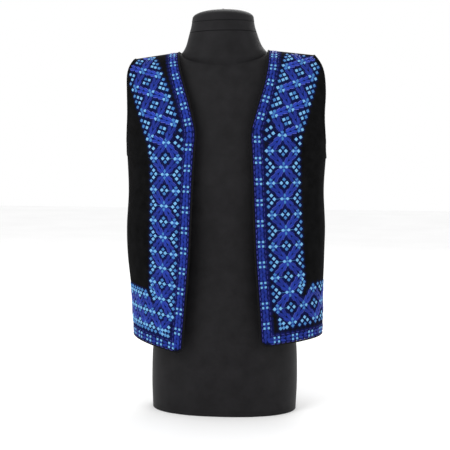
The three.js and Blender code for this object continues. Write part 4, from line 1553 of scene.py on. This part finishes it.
def merge_into(piece, other):
    """Joins a second closed body into the first, and throws the second away."""
    join = piece.modifiers.new("join", "BOOLEAN")
    join.operation = "UNION"
    join.solver = "EXACT"
    join.object = other
    graph = bpy.context.evaluated_depsgraph_get()
    whole = bpy.data.meshes.new_from_object(piece.evaluated_get(graph))
    piece.modifiers.clear()
    piece.data = whole
    whole.shade_smooth()
    whole.set_sharp_from_angle(angle=math.radians(SMOOTH_BELOW))
    bpy.data.objects.remove(other)


form_torso = make_ringed("form_torso", torso_rings(), "form_body")
stem_top = NECK_SEAM_Z["lower"]
stem_levels = np.linspace(FORM_NECK["z"][0], stem_top - STEM_ENDS_BELOW, 34)
merge_into(form_torso, make_ringed("form_neck_stem", neck_rings([*stem_levels, stem_top])))

band_low, band_high = NECK_SEAM_Z["lower"] + SEAM_GAP, NECK_SEAM_Z["upper"]
band_levels = np.linspace(band_low + SEAM_ROUNDING, band_high - SEAM_ROUNDING, 9)
band = with_pressed_edges(neck_rings(band_levels))
band[0][:, 2] = band_low
band[-1][:, 2] = band_high
make_ringed("form_band", band, "form_neck_band")
make_ringed("form_cap", cap_rings(), "form_neck_cap")
print("form:", len(form_torso.data.polygons), "faces in the torso")

# %% [markdown]
# ## Light, floor and camera
#
# A pale floor and wide soft lamps show black cloth better than a hard sun would: the lamps' large faces
# leave a gentle gradient on every fold. The camera stands about two metres off, with a long lens, a
# little above the middle and a touch to one side.

# %% Floor
FLOOR = {"size": 12.0, "z": -0.0005}


def make_floor():
    bpy.ops.mesh.primitive_plane_add(size=FLOOR["size"], location=(0, 0, FLOOR["z"]))
    floor = bpy.context.object
    floor.name = "studio_floor"
    material, tree, shader = new_material("pale_studio_floor", (0.95, 0.95, 0.95), 0.9, 0.0, 0.2)
    speckle = noise(tree, 3.0, 2.0)
    tree.links.new(color_between(tree, speckle, (0.93, 0.93, 0.93), (0.96, 0.96, 0.96)),
                   shader.inputs["Base Color"])
    floor.data.materials.append(material)
    return floor


make_floor()
bpy.context.scene.view_settings.view_transform = "Standard"


# %% Lamps
def make_lamp(name, place, aim, size, power):
    light = bpy.data.lights.new(name, "AREA")
    light.shape = "RECTANGLE"
    light.size, light.size_y = size
    light.energy = power
    lamp = bpy.data.objects.new(name, light)
    lamp.location = place
    lamp.rotation_euler = (Vector(aim) - Vector(place)).to_track_quat("-Z", "Y").to_euler()
    bpy.context.collection.objects.link(lamp)
    return lamp


MIDDLE = (0, 0, 0.42)
make_lamp("key_lamp", (-1.6, -2.0, 1.9), MIDDLE, (1.6, 1.2), 34)
make_lamp("fill_lamp", (1.9, -1.7, 1.2), MIDDLE, (1.6, 1.6), 10)
make_lamp("rear_lamp", (0.4, 1.9, 1.9), MIDDLE, (1.6, 1.0), 22)

world = bpy.data.worlds.new("studio_world")
bpy.context.scene.world = world
world.use_nodes = True
world.node_tree.nodes["Background"].inputs["Color"].default_value = (1, 1, 1, 1)
world.node_tree.nodes["Background"].inputs["Strength"].default_value = 1.0

# %% Camera
VIEW = {"distance": 2.100, "azimuth": 3.5, "height": 0.527, "pitch": 4.6, "roll": 0.5, "yaw": 0.053}
LENS = {"sensor": 36.0, "focal": 86.16}


def make_camera():
    data = bpy.data.cameras.new("studio_camera")
    data.sensor_width = LENS["sensor"]
    data.lens = LENS["focal"]
    camera = bpy.data.objects.new("studio_camera", data)
    turn = math.radians(VIEW["azimuth"])
    place = (VIEW["distance"] * math.sin(turn), -VIEW["distance"] * math.cos(turn), VIEW["height"])
    aim = Matrix.Rotation(turn + math.radians(VIEW["yaw"]), 4, "Z")
    pitch = Matrix.Rotation(QUARTER - math.radians(VIEW["pitch"]), 4, "X")
    roll = Matrix.Rotation(math.radians(VIEW["roll"]), 4, "Z")
    camera.matrix_world = Matrix.Translation(place) @ aim @ pitch @ roll
    bpy.context.collection.objects.link(camera)
    bpy.context.scene.camera = camera
    return camera


print("camera at", [round(value, 3) for value in make_camera().location])
